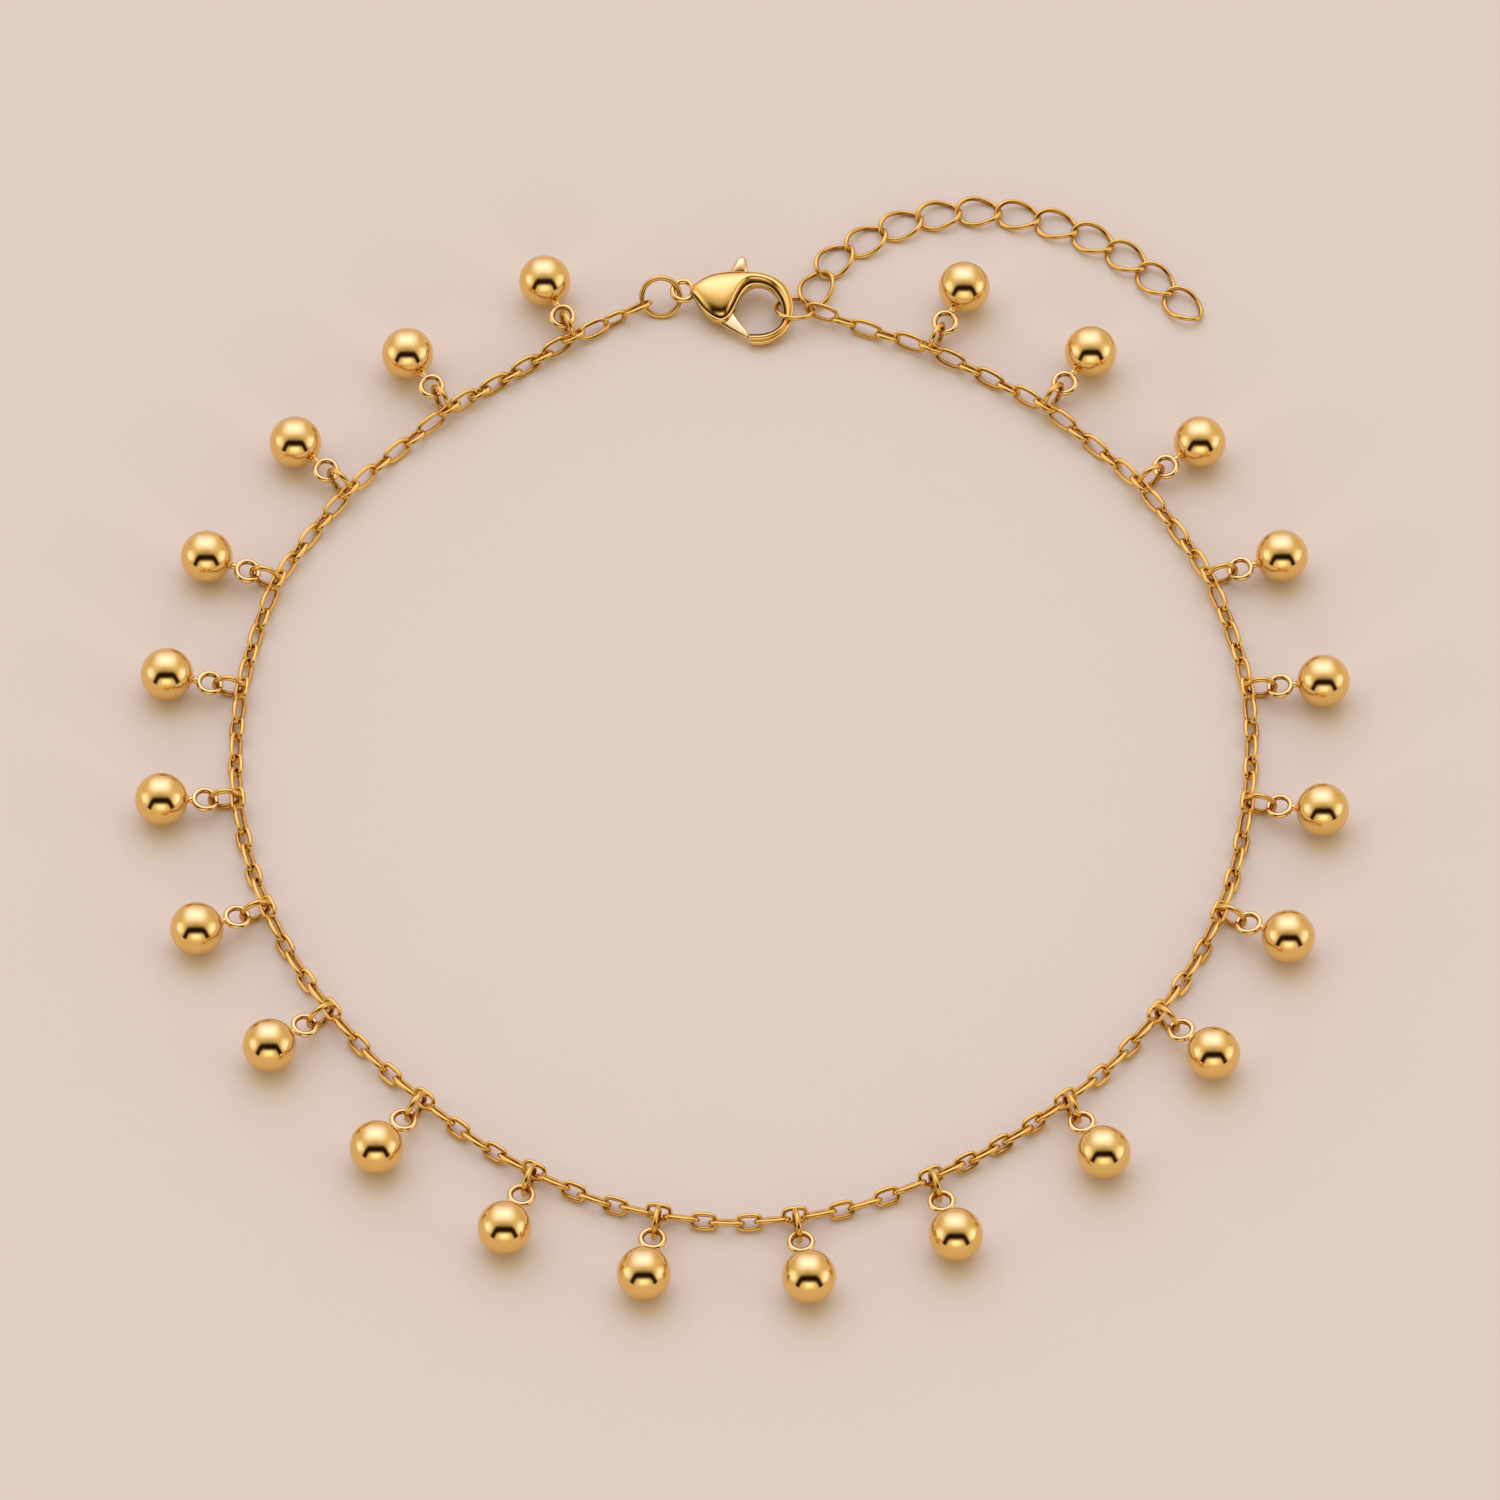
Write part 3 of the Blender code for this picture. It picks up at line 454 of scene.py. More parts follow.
def name_sockets(tree, side, **kinds):
    """Give a node group its named inputs or outputs."""
    for name, kind in kinds.items():
        tree.interface.new_socket(name, in_out=side, socket_type="NodeSocket" + kind)


def link_up(tree, links):
    """Link nodes. Each row: a node and its output, then the next node and its input."""
    for first, output, second, slot in links:
        tree.links.new(first.outputs[output], second.inputs[slot])


def copies_group():
    """Geometry nodes that put a copy of one piece on every point, each turned as its point says."""
    tree = bpy.data.node_groups.new("Copies on points", "GeometryNodeTree")
    name_sockets(tree, "INPUT", Geometry="Geometry", Piece="Object", Metal="Material", Wobble="Vector",
                 Seed="Int")
    name_sockets(tree, "OUTPUT", Geometry="Geometry")
    start = node(tree, "NodeGroupInput")
    piece = node(tree, "GeometryNodeObjectInfo", transform_space="ORIGINAL")
    turn = node(tree, "GeometryNodeInputNamedAttribute", data_type="FLOAT_VECTOR")
    turn.inputs["Name"].default_value = "turn"
    to_turn = node(tree, "FunctionNodeEulerToRotation")
    wobble = node(tree, "FunctionNodeRandomValue", data_type="FLOAT_VECTOR")
    less = node(tree, "ShaderNodeVectorMath", operation="SCALE")
    less.inputs["Scale"].default_value = -1.0
    to_wobble = node(tree, "FunctionNodeEulerToRotation")
    rotate = node(tree, "FunctionNodeRotateRotation", rotation_space="LOCAL")
    place = node(tree, "GeometryNodeInstanceOnPoints")
    real = node(tree, "GeometryNodeRealizeInstances")
    metal = node(tree, "GeometryNodeSetMaterial")
    end = node(tree, "NodeGroupOutput")
    link_up(tree, (
        (start, "Piece", piece, "Object"),
        (start, "Wobble", less, 0),
        (less, 0, wobble, "Min"),
        (start, "Wobble", wobble, "Max"),
        (start, "Seed", wobble, "Seed"),
        (turn, "Attribute", to_turn, 0),
        (wobble, "Value", to_wobble, 0),
        (to_turn, 0, rotate, "Rotation"),
        (to_wobble, 0, rotate, "Rotate By"),
        (start, "Geometry", place, "Points"),
        (piece, "Geometry", place, "Instance"),
        (rotate, 0, place, "Rotation"),
        (place, "Instances", real, "Geometry"),
        (real, "Geometry", metal, "Geometry"),
        (start, "Metal", metal, "Material"),
        (metal, "Geometry", end, "Geometry"),
    ))
    return tree


def ring_group():
    """Geometry nodes that bend round wire into a ring."""
    tree = bpy.data.node_groups.new("Wire ring", "GeometryNodeTree")
    name_sockets(tree, "INPUT", Diameter="Float", Wire="Float", Steps="Int", Metal="Material")
    name_sockets(tree, "OUTPUT", Geometry="Geometry")
    start = node(tree, "NodeGroupInput")
    middle = node(tree, "ShaderNodeMath", operation="SUBTRACT")
    radius = node(tree, "ShaderNodeMath", operation="MULTIPLY")
    wire_radius = node(tree, "ShaderNodeMath", operation="MULTIPLY")
    for halved in (radius, wire_radius):
        halved.inputs[1].default_value = 0.5
    round_path = node(tree, "GeometryNodeCurvePrimitiveCircle", mode="RADIUS")
    section = node(tree, "GeometryNodeCurvePrimitiveCircle", mode="RADIUS")
    section.inputs["Resolution"].default_value = RING_SIDES
    bend = node(tree, "GeometryNodeCurveToMesh")
    shade = node(tree, "GeometryNodeSetShadeSmooth")
    metal = node(tree, "GeometryNodeSetMaterial")
    end = node(tree, "NodeGroupOutput")
    link_up(tree, (
        (start, "Diameter", middle, 0),
        (start, "Wire", middle, 1),
        (middle, 0, radius, 0),
        (radius, 0, round_path, "Radius"),
        (start, "Steps", round_path, "Resolution"),
        (start, "Wire", wire_radius, 0),
        (wire_radius, 0, section, "Radius"),
        (round_path, "Curve", bend, "Curve"),
        (section, "Curve", bend, "Profile Curve"),
        (bend, "Mesh", shade, "Geometry"),
        (shade, "Geometry", metal, "Geometry"),
        (start, "Metal", metal, "Material"),
        (metal, "Geometry", end, "Geometry"),
    ))
    return tree


def apply_modifiers(thing):
    """Turn an object with its modifiers into a plain mesh."""
    bpy.context.view_layer.update()
    graph = bpy.context.evaluated_depsgraph_get()
    made = bpy.data.meshes.new_from_object(thing.evaluated_get(graph))
    thing.modifiers.clear()
    thing.data = made
    return made


def run_nodes(holder, tree, values):
    """Evaluate a node group on an object and keep the result as its plain mesh."""
    modifier = holder.modifiers.new(tree.name, "NODES")
    modifier.node_group = tree
    for item in tree.interface.items_tree:
        if item.item_type == "SOCKET" and item.in_out == "INPUT" and item.name in values:
            modifier[item.identifier] = values[item.name]
    holder.update_tag()
    made = apply_modifiers(holder)
    made.name = holder.name
    if not made.polygons:
        raise RuntimeError(f"{holder.name} came out empty")
    return holder


def put_copies(name, piece_mesh, matrices, metal, wobble=(0.0, 0.0, 0.0), seed=1):
    """One object with a copy of a piece at each matrix."""
    piece = add_object(name + "_piece", piece_mesh)
    points = make_mesh(name, [m.translation for m in matrices], [])
    points.attributes.new("turn", "FLOAT_VECTOR", "POINT")
    for value, matrix in zip(points.attributes["turn"].data, matrices):
        value.vector = matrix.to_euler()
    holder = add_object(name, points)
    run_nodes(holder, copies_group(), {"Piece": piece, "Metal": metal, "Wobble": wobble, "Seed": seed})
    bpy.data.objects.remove(piece)
    return holder


def wire_ring(name, diameter, wire, steps, metal):
    """A ring of round wire in the XY plane."""
    holder = add_object(name, make_mesh(name, [(0, 0, 0)], []))
    plated = wire * settings()[0].wire_swell
    values = {"Diameter": diameter - wire + plated, "Wire": plated, "Steps": steps, "Metal": metal}
    ring = run_nodes(holder, ring_group(), values)
    path = oval_points(diameter, diameter, wire, steps)
    paint_inside_shade(ring.data, path, plated)
    return ring


def link_mesh(name, path, wire, sides):
    """One link of plated wire along a path."""
    plated = wire * settings()[0].wire_swell
    link = make_mesh(name, *wire_round(path, plated, sides))
    paint_inside_shade(link, path, plated)
    return link


def bake_place(thing, matrix):
    """Move an object's mesh instead of the object."""
    thing.data.transform(matrix)
    thing.data.update()


def join_things(name, things, metal):
    """Several objects as one, with their painted shade amounts stored on them."""
    shapes, shade_amounts = [], []
    for thing in things:
        mesh = thing.data
        shapes.append(([v.co.copy() for v in mesh.vertices], [tuple(p.vertices) for p in mesh.polygons]))
        stored = mesh.attributes.get("recess")
        shade_amounts += [v.value for v in stored.data] if stored else [0.0] * len(mesh.vertices)
        bpy.data.objects.remove(thing)
    whole = make_mesh(name, *join_shapes(shapes))
    store_painted_shade(whole, shade_amounts)
    return add_object(name, whole, metal)


def show(thing, nodes, body="choker"):
    """Bring a piece from the route's place to the frame's, to stand for its CAD nodes and move with them."""
    bake_place(thing, Matrix.Translation(frame_shift()))
    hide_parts(*nodes)
    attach(thing, body)


def gold(name, colour, roughness, grain, recess=None):
    """Polished gold plating with fine uneven polish, and painted shade in its recesses."""
    material = bpy.data.materials.new(name)
    material.use_nodes = True
    tree = material.node_tree
    shader = tree.nodes["Principled BSDF"]
    shader.inputs["Base Color"].default_value = (*colour, 1.0)
    shader.inputs["Metallic"].default_value = 1.0
    where = node(tree, "ShaderNodeTexCoord")
    cloud = node(tree, "ShaderNodeTexNoise")
    cloud.inputs["Scale"].default_value = CLOUD_SCALE
    cloud.inputs["Detail"].default_value = CLOUD_DETAIL
    spread = node(tree, "ShaderNodeMapRange")
    spread.inputs["To Min"].default_value = roughness - grain
    spread.inputs["To Max"].default_value = roughness + grain
    link_up(tree, (
        (where, "Object", cloud, "Vector"),
        (cloud, "Fac", spread, "Value"),
        (spread, "Result", shader, "Roughness"),
    ))
    # Painted shade: the stored amount blends the colour towards a dark shade colour.
    if recess:
        depth = node(tree, "ShaderNodeAttribute", attribute_name="recess")
        shade = blend_colour(tree, depth.outputs["Fac"], tuple(colour), tuple(recess))
        tree.links.new(shade, shader.inputs["Base Color"])
    return material


def wire_gold(name, finish):
    """The gold of the chains and rings, with painted shade inside them."""
    return gold(name, finish.wire_gold, finish.wire_polish, finish.grain, finish.painted_inside_shade)


def ring_lean_height(sizes):
    """The clasp ring leans with its near side on the surface."""
    radius = (sizes.large_ring - sizes.clasp_ring_wire) / 2
    return radius * math.sin(sizes.clasp_ring_tilt) + sizes.clasp_ring_wire / 2


def on_ring(diameter, wire, place, height, tilt, degrees):
    """A point on the middle line of a large ring."""
    turn = math.radians(degrees)
    radius = (diameter - wire) / 2
    return Vector((
        place[0] * MM + radius * math.cos(turn),
        place[1] * MM + radius * math.sin(turn) * math.cos(tilt),
        height + radius * math.sin(turn) * math.sin(tilt)))


def on_end_ring(sizes, degrees):
    """A point on the ring that the clasp's hook holds."""
    return on_ring(sizes.large_ring, sizes.end_ring_wire, END_RING_PLACE, sizes.end_ring_height,
                   sizes.end_ring_tilt, degrees)


def chain_route(sizes):
    """The chain's curve from the middle of its first link to the middle of its last."""
    start = on_ring(sizes.large_ring, sizes.clasp_ring_wire, CLASP_RING_PLACE, ring_lean_height(sizes),
                    sizes.clasp_ring_tilt, CHAIN_START_ON_RING)
    end = on_end_ring(sizes, CHAIN_END_ON_RING)
    height = sizes.chain_height + sizes.chain_lift
    drops = [Vector((row[0] * MM, row[1] * MM, height)) for row in CHAIN_ROUTE]
    reach = sizes.link_length / 2 - sizes.link_wire - sizes.clearance
    first = start + (reach - sizes.clasp_ring_wire / 2) * (drops[0] - start).normalized()
    last = end + (reach - sizes.end_ring_wire / 2) * (drops[-1] - end).normalized()
    return Route([first] + drops + [last])


def chain_height(sizes, share, low, high):
    """The chain comes down to the surface between two drops, whose rings hold it up."""
    side = low if share < 0.5 else high
    return sizes.chain_height + (side - sizes.chain_height) * (1 - 2 * share) ** 2


def link_matrices(sizes, route):
    """Where each cable link lies."""
    counts = [row[2] for row in CHAIN_ROUTE] + [LINKS_FROM_LAST_DROP]
    spots = [(0.0, route.at(0.0)[0].z)]
    for span, count in enumerate(counts):
        start, end = route.knots[span], route.knots[span + 1]
        low, high = route.at(start)[0].z, route.at(end)[0].z
        for i in range(1, count + 1):
            share = i / count
            spots.append((start + share * (end - start), chain_height(sizes, share, low, high)))
    matrices = []
    for index, (distance, height) in enumerate(spots):
        place, along = route.at_level(distance)
        inward = Vector((-along.y, along.x, 0.0))
        on = index - LINKS_TO_FIRST_DROP
        roll = sizes.link_roll + (on % 2 * math.pi / 2 if on > 0 else on * sizes.first_turn)
        steepest = min(abs(math.sin(roll)) + math.sin(sizes.link_wobble), 1.0)
        lowest = (sizes.link_width - sizes.link_wire) / 2 * steepest + sizes.link_wire / 2
        place.z = max(height, lowest)
        across = math.cos(roll) * inward + math.sin(roll) * UP
        matrices.append(basis(place, along, across))
    return matrices


def hang_offsets(sizes):
    """How far along a taut drop its jump ring and its ball lie from the chain's middle line."""
    ring_radius = (sizes.ring - sizes.ring_wire) / 2
    ring_height = sizes.ring / 2
    half_link = (sizes.link_width - sizes.link_wire) / 2
    wire_height = sizes.chain_height + sizes.chain_lift - half_link * math.sin(sizes.link_roll)
    held = ring_radius - sizes.ring_wire / 2 - sizes.link_wire / 2 - sizes.clearance
    ring_offset = math.sqrt(held ** 2 - (wire_height - ring_height) ** 2) + half_link * math.cos(
        sizes.link_roll)
    far_side = loop_reach(sizes) + (sizes.loop - sizes.loop_wire) / 2
    far_height = sizes.ball / 2 - far_side * math.sin(sizes.loop_dip)
    held = ring_radius - sizes.ring_wire / 2 - sizes.loop_wire / 2 - sizes.clearance
    loop_gap = math.sqrt(held ** 2 - (far_height - ring_height) ** 2)
    return ring_offset, ring_offset + loop_gap + far_side * math.cos(sizes.loop_dip)


def loop_reach(sizes):
    """From the ball's middle to its loop's middle."""
    return sizes.ball / 2 + sizes.neck + sizes.loop / 2


def drop_matrices(sizes, route):
    """Where each ball drop and its jump ring lie."""
    ring_offset, ball_offset = hang_offsets(sizes)
    balls, rings = [], []
    for number, (_, _, _, lean, slack) in enumerate(CHAIN_ROUTE, start=1):
        place, along = route.at_level(route.knots[number])
        outward = Vector((along.y, -along.x, 0.0))
        outward.rotate(Matrix.Rotation(math.radians(lean), 3, "Z"))
        spot = place + (ball_offset - slack * MM) * outward
        spot.z = sizes.ball / 2
        dip = Matrix.Rotation(sizes.loop_dip, 4, "Y")
        balls.append(basis(spot, -outward, UP.cross(-outward)) @ dip)
        spot = place + (ring_offset - slack * MM * sizes.ring_slack) * outward
        spot.z = sizes.ring / 2
        rings.append(basis(spot, outward, UP))
    return balls, rings


def ball_drop_mesh(sizes):
    """A ball with its short neck and soldered loop, the loop towards +X."""
    radius = sizes.ball / 2
    neck = sizes.neck_radius
    root = math.asin(neck * NECK_FLARE / radius)
    profile = []
    for i in range(1, BALL_ROWS + 1):
        turn = math.pi - (math.pi - root) * i / BALL_ROWS
        profile.append((radius * math.cos(turn), radius * math.sin(turn)))
    profile += [(radius + sizes.neck * share, neck * swell) for share, swell in NECK_PROFILE]
    ball = skin([[Vector((x, r * math.cos(turn), r * math.sin(turn))) for turn in turns(BALL_SIDES)]
                 for x, r in profile], False)
    middle = Vector((loop_reach(sizes), 0, 0))
    path = [middle + p for p in oval_points(sizes.loop, sizes.loop, sizes.loop_wire, LOOP_STEPS)]
    wire = sizes.loop_wire * sizes.wire_swell
    drop = make_mesh("ball_drop", *join_shapes([ball, wire_round(path, wire, LOOP_SIDES)]))
    paint_inside_shade(drop, path, wire)
    return drop


def frame_shift():
    """From the route's origin to the frame's, read from one jump ring."""
    sizes, _ = settings()
    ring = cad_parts[f"jump_ring_{SHIFT_RING:02d}"]
    points = {tuple(round(c, 7) for c in v.co) for v in ring.data.vertices}
    middle = ring.matrix_world @ (sum((Vector(p) for p in points), Vector()) / len(points))
    _, rings = drop_matrices(sizes, chain_route(sizes))
    return middle - rings[SHIFT_RING - 1].translation


def clasp_matrix(sizes):
    """The clasp's own frame: its eye at the origin, its length along X, its thickness along Z."""
    spot = Matrix.Translation((CLASP_EYE_PLACE[0] * MM, CLASP_EYE_PLACE[1] * MM, sizes.eye_height))
    return spot @ Matrix.Rotation(sizes.clasp_tilt, 4, "X")


def rib_points(rib):
    """One closed section of the clasp: a flange at mid-thickness with a dome above and below."""
    inner = Vector((rib[0], rib[1], 0)) * MM
    outer = Vector((rib[2], rib[3], 0)) * MM
    thick, flange, inner_lip, outer_lip = (value * MM for value in rib[4:])
    across = (outer - inner).normalized()
    width = (outer - inner).length
    dome = width - inner_lip - outer_lip
    rim = min(flange * RIM_HEIGHT, thick * RIM_LIMIT)
    floor = flange * GROOVE_FLOOR
    upper = [(0.0, 0.0), (0.0, rim * 0.7), (inner_lip * 0.12, rim * 0.94), (inner_lip * 0.38, rim),
             (inner_lip * 0.66, rim * 0.93), (inner_lip * 0.84, flange * 0.72), (inner_lip, floor)]
    for i in range(1, RIB_SIDES):
        turn = math.pi * i / RIB_SIDES
        fullness = INNER_FULLNESS if i < RIB_SIDES / 2 else OUTER_FULLNESS
        upper.append((inner_lip + dome * (1 - math.cos(turn)) / 2,
                      floor + (thick - floor) * math.sin(turn) ** fullness))
    for back, rise in ((1.0, GROOVE_FLOOR), (0.8, 0.72), (0.55, 0.95), (0.15, 0.9), (0.0, GROOVE_FLOOR)):
        upper.append((width - outer_lip * back, flange * rise))
    upper.append((width, 0.0))
    lower = [(s, -z) for s, z in reversed(upper[1:-1])]
    return [inner + s * across + z * UP for s, z in upper + lower]


def all_ribs():
    """The clasp's ribs with in-between ribs for smoothness."""
    padded = [CLASP_RIBS[0]] + CLASP_RIBS + [CLASP_RIBS[-1]]
    ribs = []
    for i in range(1, len(padded) - 2):
        for step in range(RIB_STEPS):
            ribs.append([catmull_rom(*values, step / RIB_STEPS) for values in zip(*padded[i - 1:i + 3])])
    return ribs + [CLASP_RIBS[-1]]


def clasp_body_shape():
    """The domed body and hook, lofted through the ribs."""
    return skin([rib_points(rib) for rib in all_ribs()], False)


def groove_points():
    """Points along the bottom of the groove between the clasp's dome and its inner rim."""
    points = []
    for rib in all_ribs():
        inner, outer = Vector((rib[0], rib[1], 0)) * MM, Vector((rib[2], rib[3], 0)) * MM
        foot = inner + rib[6] * MM * (outer - inner).normalized()
        rise = rib[5] * GROOVE_FLOOR * MM * UP
        points += [foot + rise, foot - rise]
    return points


def point_tree(points):
    """Points in the order in which the nearest is quickly found."""
    tree = kdtree.KDTree(len(points))
    for i, point in enumerate(points):
        tree.insert(point, i)
    tree.balance()
    return tree


def store_painted_shade(mesh, shade_amounts):
    """Keep how deep each vertex lies in a groove or in a link's hole, for the painted shade there."""
    stored = mesh.attributes.get("recess") or mesh.attributes.new("recess", "FLOAT", "POINT")
    for value, depth in zip(stored.data, shade_amounts):
        value.value = depth


def paint_groove_shade(mesh, points, reach):
    """Store how deep each vertex lies in a groove, for the painted shade there."""
    tree = point_tree(points)
    store_painted_shade(mesh, [max(0.0, 1.0 - tree.find(v.co)[2] / reach) ** GROOVE_SHADE_FADE for v in mesh.vertices])


def paint_inside_shade(mesh, path, wire):
    """Store how far each vertex of a bent wire faces the hole that the wire goes round, for the painted
    shade there.
    """
    _, finish = settings()
    tree = point_tree(path)
    middle = sum(path, Vector()) / len(path)
    shade_amounts = []
    for vertex in mesh.vertices:
        near, _, away = tree.find(vertex.co)
        inward = (middle - near).normalized().dot(vertex.co - near) * 2 / wire
        shade_amounts.append(finish.inside_shade_depth * max(0.0, min(inward, 1.0)) if away < wire else 0.0)
    store_painted_shade(mesh, shade_amounts)


def cut_slot(body, pin, sizes):
    """Cut the narrow slot in the body's edge that the lever moves in."""
    half = sizes.lever_thickness / 2 + sizes.lever_play
    rings = [[Vector((x * MM, y * MM, z)) + pin for x, y in LEVER_SLOT] for z in (-half, half)]
    cutter = add_object("slot", make_mesh("slot", *skin(rings, False)))
    step = body.modifiers.new("slot", "BOOLEAN")
    step.operation = "DIFFERENCE"
    step.object = cutter
    step.solver = "EXACT"
    apply_modifiers(body)
    bpy.data.objects.remove(cutter)


def pin_place():
    """The lever's pin in the clasp's own frame."""
    return Vector((LEVER_PIN[0] * MM, LEVER_PIN[1] * MM, 0))


def lever_shape(sizes):
    """The lever: a rounded thumb tab on an arm, and a tapered gate that reaches the hook's tip."""
    pin = pin_place()
    arm = []
    for left, y, right, half in LEVER_ARM:
        middle, reach = (left + right) / 2, (right - left) / 2
        arm.append([pin + MM * Vector((middle + power(math.cos(turn), TAB_FULLNESS[0]) * reach, y,
                                       power(math.sin(turn), TAB_FULLNESS[1]) * half))
                    for turn in turns(TAB_SIDES)])
    half = sizes.lever_thickness / 2
    gate = []
    for ax, ay, bx, by, share in LEVER_GATE:
        upper = pin + Vector((ax, ay, 0)) * MM
        lower = pin + Vector((bx, by, 0)) * MM
        edges = GATE_EDGES + [(across, -rise) for across, rise in reversed(GATE_EDGES)]
        gate.append([upper.lerp(lower, across) + rise * half * share * UP for across, rise in edges])
    radius = sizes.lever_hub / 2
    hub = [[pin + Vector((radius * math.cos(turn), radius * math.sin(turn), z))
            for turn in turns(HUB_SIDES)] for z in (-half, half)]
    return join_shapes([skin(rings, False) for rings in (arm, gate, hub)])


class CHOKER_OT_balls(bpy.types.Operator):
    """Hang the ball drops"""

    bl_idname = "choker.balls"
    bl_label = "Ball drops"

    def execute(self, context):
        sizes, finish = settings()
        balls, _ = drop_matrices(sizes, chain_route(sizes))
        # The balls' loops get painted shade on their inner sides.
        metal = gold("ball_gold", finish.ball_gold, finish.ball_polish, finish.ball_grain,
                     finish.painted_inside_shade)
        drops = put_copies("ball_drops", ball_drop_mesh(sizes), balls, metal)
        show(drops, [f"drop_{i:02d}" for i in range(1, len(CHAIN_ROUTE) + 1)])
        return {"FINISHED"}


class CHOKER_OT_jump_rings(bpy.types.Operator):
    """Bend the small jump rings"""

    bl_idname = "choker.jump_rings"
    bl_label = "Jump rings"

    def execute(self, context):
        sizes, finish = settings()
        _, rings = drop_matrices(sizes, chain_route(sizes))
        metal = wire_gold("ring_gold", finish)
        one = wire_ring("jump_ring", sizes.ring, sizes.ring_wire, RING_STEPS, metal)
        bent = put_copies("jump_rings", one.data.copy(), rings, metal)
        bpy.data.objects.remove(one)
        show(bent, [f"jump_ring_{i:02d}" for i in range(1, len(CHAIN_ROUTE) + 1)])
        return {"FINISHED"}


class CHOKER_OT_cable_chain(bpy.types.Operator):
    """Link the cable chain"""

    bl_idname = "choker.cable_chain"
    bl_label = "Cable chain"

    def execute(self, context):
        sizes, finish = settings()
        metal = wire_gold("chain_gold", finish)
        places = link_matrices(sizes, chain_route(sizes))
        first_short = LINKS_TO_FIRST_DROP % 2
        kinds = [
            ("short_links", places[first_short::2], -sizes.link_difference / 2, SHORT_FULLNESS),
            ("long_links", places[1 - first_short::2], sizes.link_difference / 2, LONG_FULLNESS),
        ]
        parts = []
        for name, spots, longer, fullness in kinds:
            path = oval_points(sizes.link_length + longer, sizes.link_width, sizes.link_wire, LINK_STEPS,
                               fullness)
            link = link_mesh(name, path, sizes.link_wire, LINK_SIDES)
            wobble = (sizes.link_wobble, 0.0, 0.0)
            parts.append(put_copies(name, link, spots, metal, wobble, WOBBLE_SEED))
        show(join_things("cable_chain", parts, metal), ["chain"])
        return {"FINISHED"}


class CHOKER_OT_extension(bpy.types.Operator):
    """Link the curb extension chain"""

    bl_idname = "choker.extension"
    bl_label = "Extension chain"

    def execute(self, context):
        sizes, finish = settings()
        path = oval_points(sizes.curb_length, sizes.curb_width, sizes.curb_wire, CURB_STEPS, CURB_FULLNESS,
                           sizes.curb_twist)
        link = link_mesh("curb_link", path, sizes.curb_wire, CURB_SIDES)
        ground = sizes.curb_twist + sizes.curb_wire / 2
        held = on_end_ring(sizes, EXTENSION_START_ON_RING)
        reach = sizes.curb_length / 2 - sizes.curb_wire - sizes.end_ring_wire / 2 - sizes.clearance
        first = held + reach * Vector((math.cos(EXTENSION_START_TURN), math.sin(EXTENSION_START_TURN), 0))
        first.z = ground
        route = Route([first] + [Vector((x * MM, y * MM, ground)) for x, y in EXTENSION_ROUTE])
        pitch = sizes.curb_length - 2 * sizes.curb_wire + sizes.curb_bite
        places = []
        for number in range(sizes.curb_count):
            place, along = route.at(number * pitch)
            place.z += sizes.curb_lift / (1 + CURB_SETTLING * number)
            places.append(basis(place, along, UP.cross(along)))
        metal = wire_gold("extension_gold", finish)
        chain = put_copies("extension_links", link, places, metal)
        show(chain, ["extension_chain"])
        return {"FINISHED"}


class CHOKER_OT_large_rings(bpy.types.Operator):
    """Bend the two large rings at the clasp"""

    bl_idname = "choker.large_rings"
    bl_label = "Large rings"

    def execute(self, context):
        sizes, finish = settings()
        metal = wire_gold("large_ring_gold", finish)
        rings = [
            ("clasp_ring", CLASP_RING_PLACE, sizes.clasp_ring_wire, ring_lean_height(sizes),
             sizes.clasp_ring_tilt),
            ("end_ring", END_RING_PLACE, sizes.end_ring_wire, sizes.end_ring_height, sizes.end_ring_tilt),
        ]
        for name, place, wire, height, tilt in rings:
            ring = wire_ring(name + "_wire", sizes.large_ring, wire, LARGE_RING_STEPS, metal)
            spot = Matrix.Translation((place[0] * MM, place[1] * MM, height))
            bake_place(ring, spot @ Matrix.Rotation(tilt, 4, "X"))
            show(ring, [name])
        return {"FINISHED"}


class CHOKER_OT_clasp(bpy.types.Operator):
    """Shape the lobster clasp's body, eye and hook"""

    bl_idname = "choker.clasp"
    bl_label = "Clasp body"

    def execute(self, context):
        sizes, finish = settings()
        metal = gold("clasp_gold", finish.clasp_gold, finish.clasp_polish, finish.grain, finish.painted_groove_shade)
        name = "clasp_body_and_hook"
        body = add_object(name, make_mesh(name, *clasp_body_shape()), metal)
        cut_slot(body, pin_place(), sizes)
        eye = wire_ring("eye", sizes.eye, sizes.eye_wire, EYE_STEPS, metal)
        whole = join_things("lobster_clasp", [body, eye], metal)
        # Paint shade into the groove between the dome and the rim.
        paint_groove_shade(whole.data, groove_points(), sizes.groove_shade_reach)
        bake_place(whole, clasp_matrix(sizes))
        show(whole, ["clasp_body"])
        return {"FINISHED"}


class CHOKER_OT_lever(bpy.types.Operator):
    """Shape the clasp's lever"""

    bl_idname = "choker.lever"
    bl_label = "Clasp lever"

    def execute(self, context):
        sizes, finish = settings()
        metal = gold("lever_gold", finish.lever_gold, finish.clasp_polish, finish.grain)
        lever = add_object("thumb_lever", make_mesh("thumb_lever", *lever_shape(sizes)), metal)
        bake_place(lever, clasp_matrix(sizes))
        show(lever, ["clasp_lever"], "lever")
        return {"FINISHED"}


def feed(tree, slot, value):
    """Give a node's input its value, or link it to another node's output."""
    if isinstance(value, bpy.types.NodeSocket):
        tree.links.new(value, slot)
    else:
        slot.default_value = value


def calc(tree, operation, *values):
    """One sum of numbers. Each is a socket or a number."""
    made = node(tree, "ShaderNodeMath", operation=operation)
    for slot, value in zip(made.inputs, values):
        feed(tree, slot, value)
    return made.outputs[0]


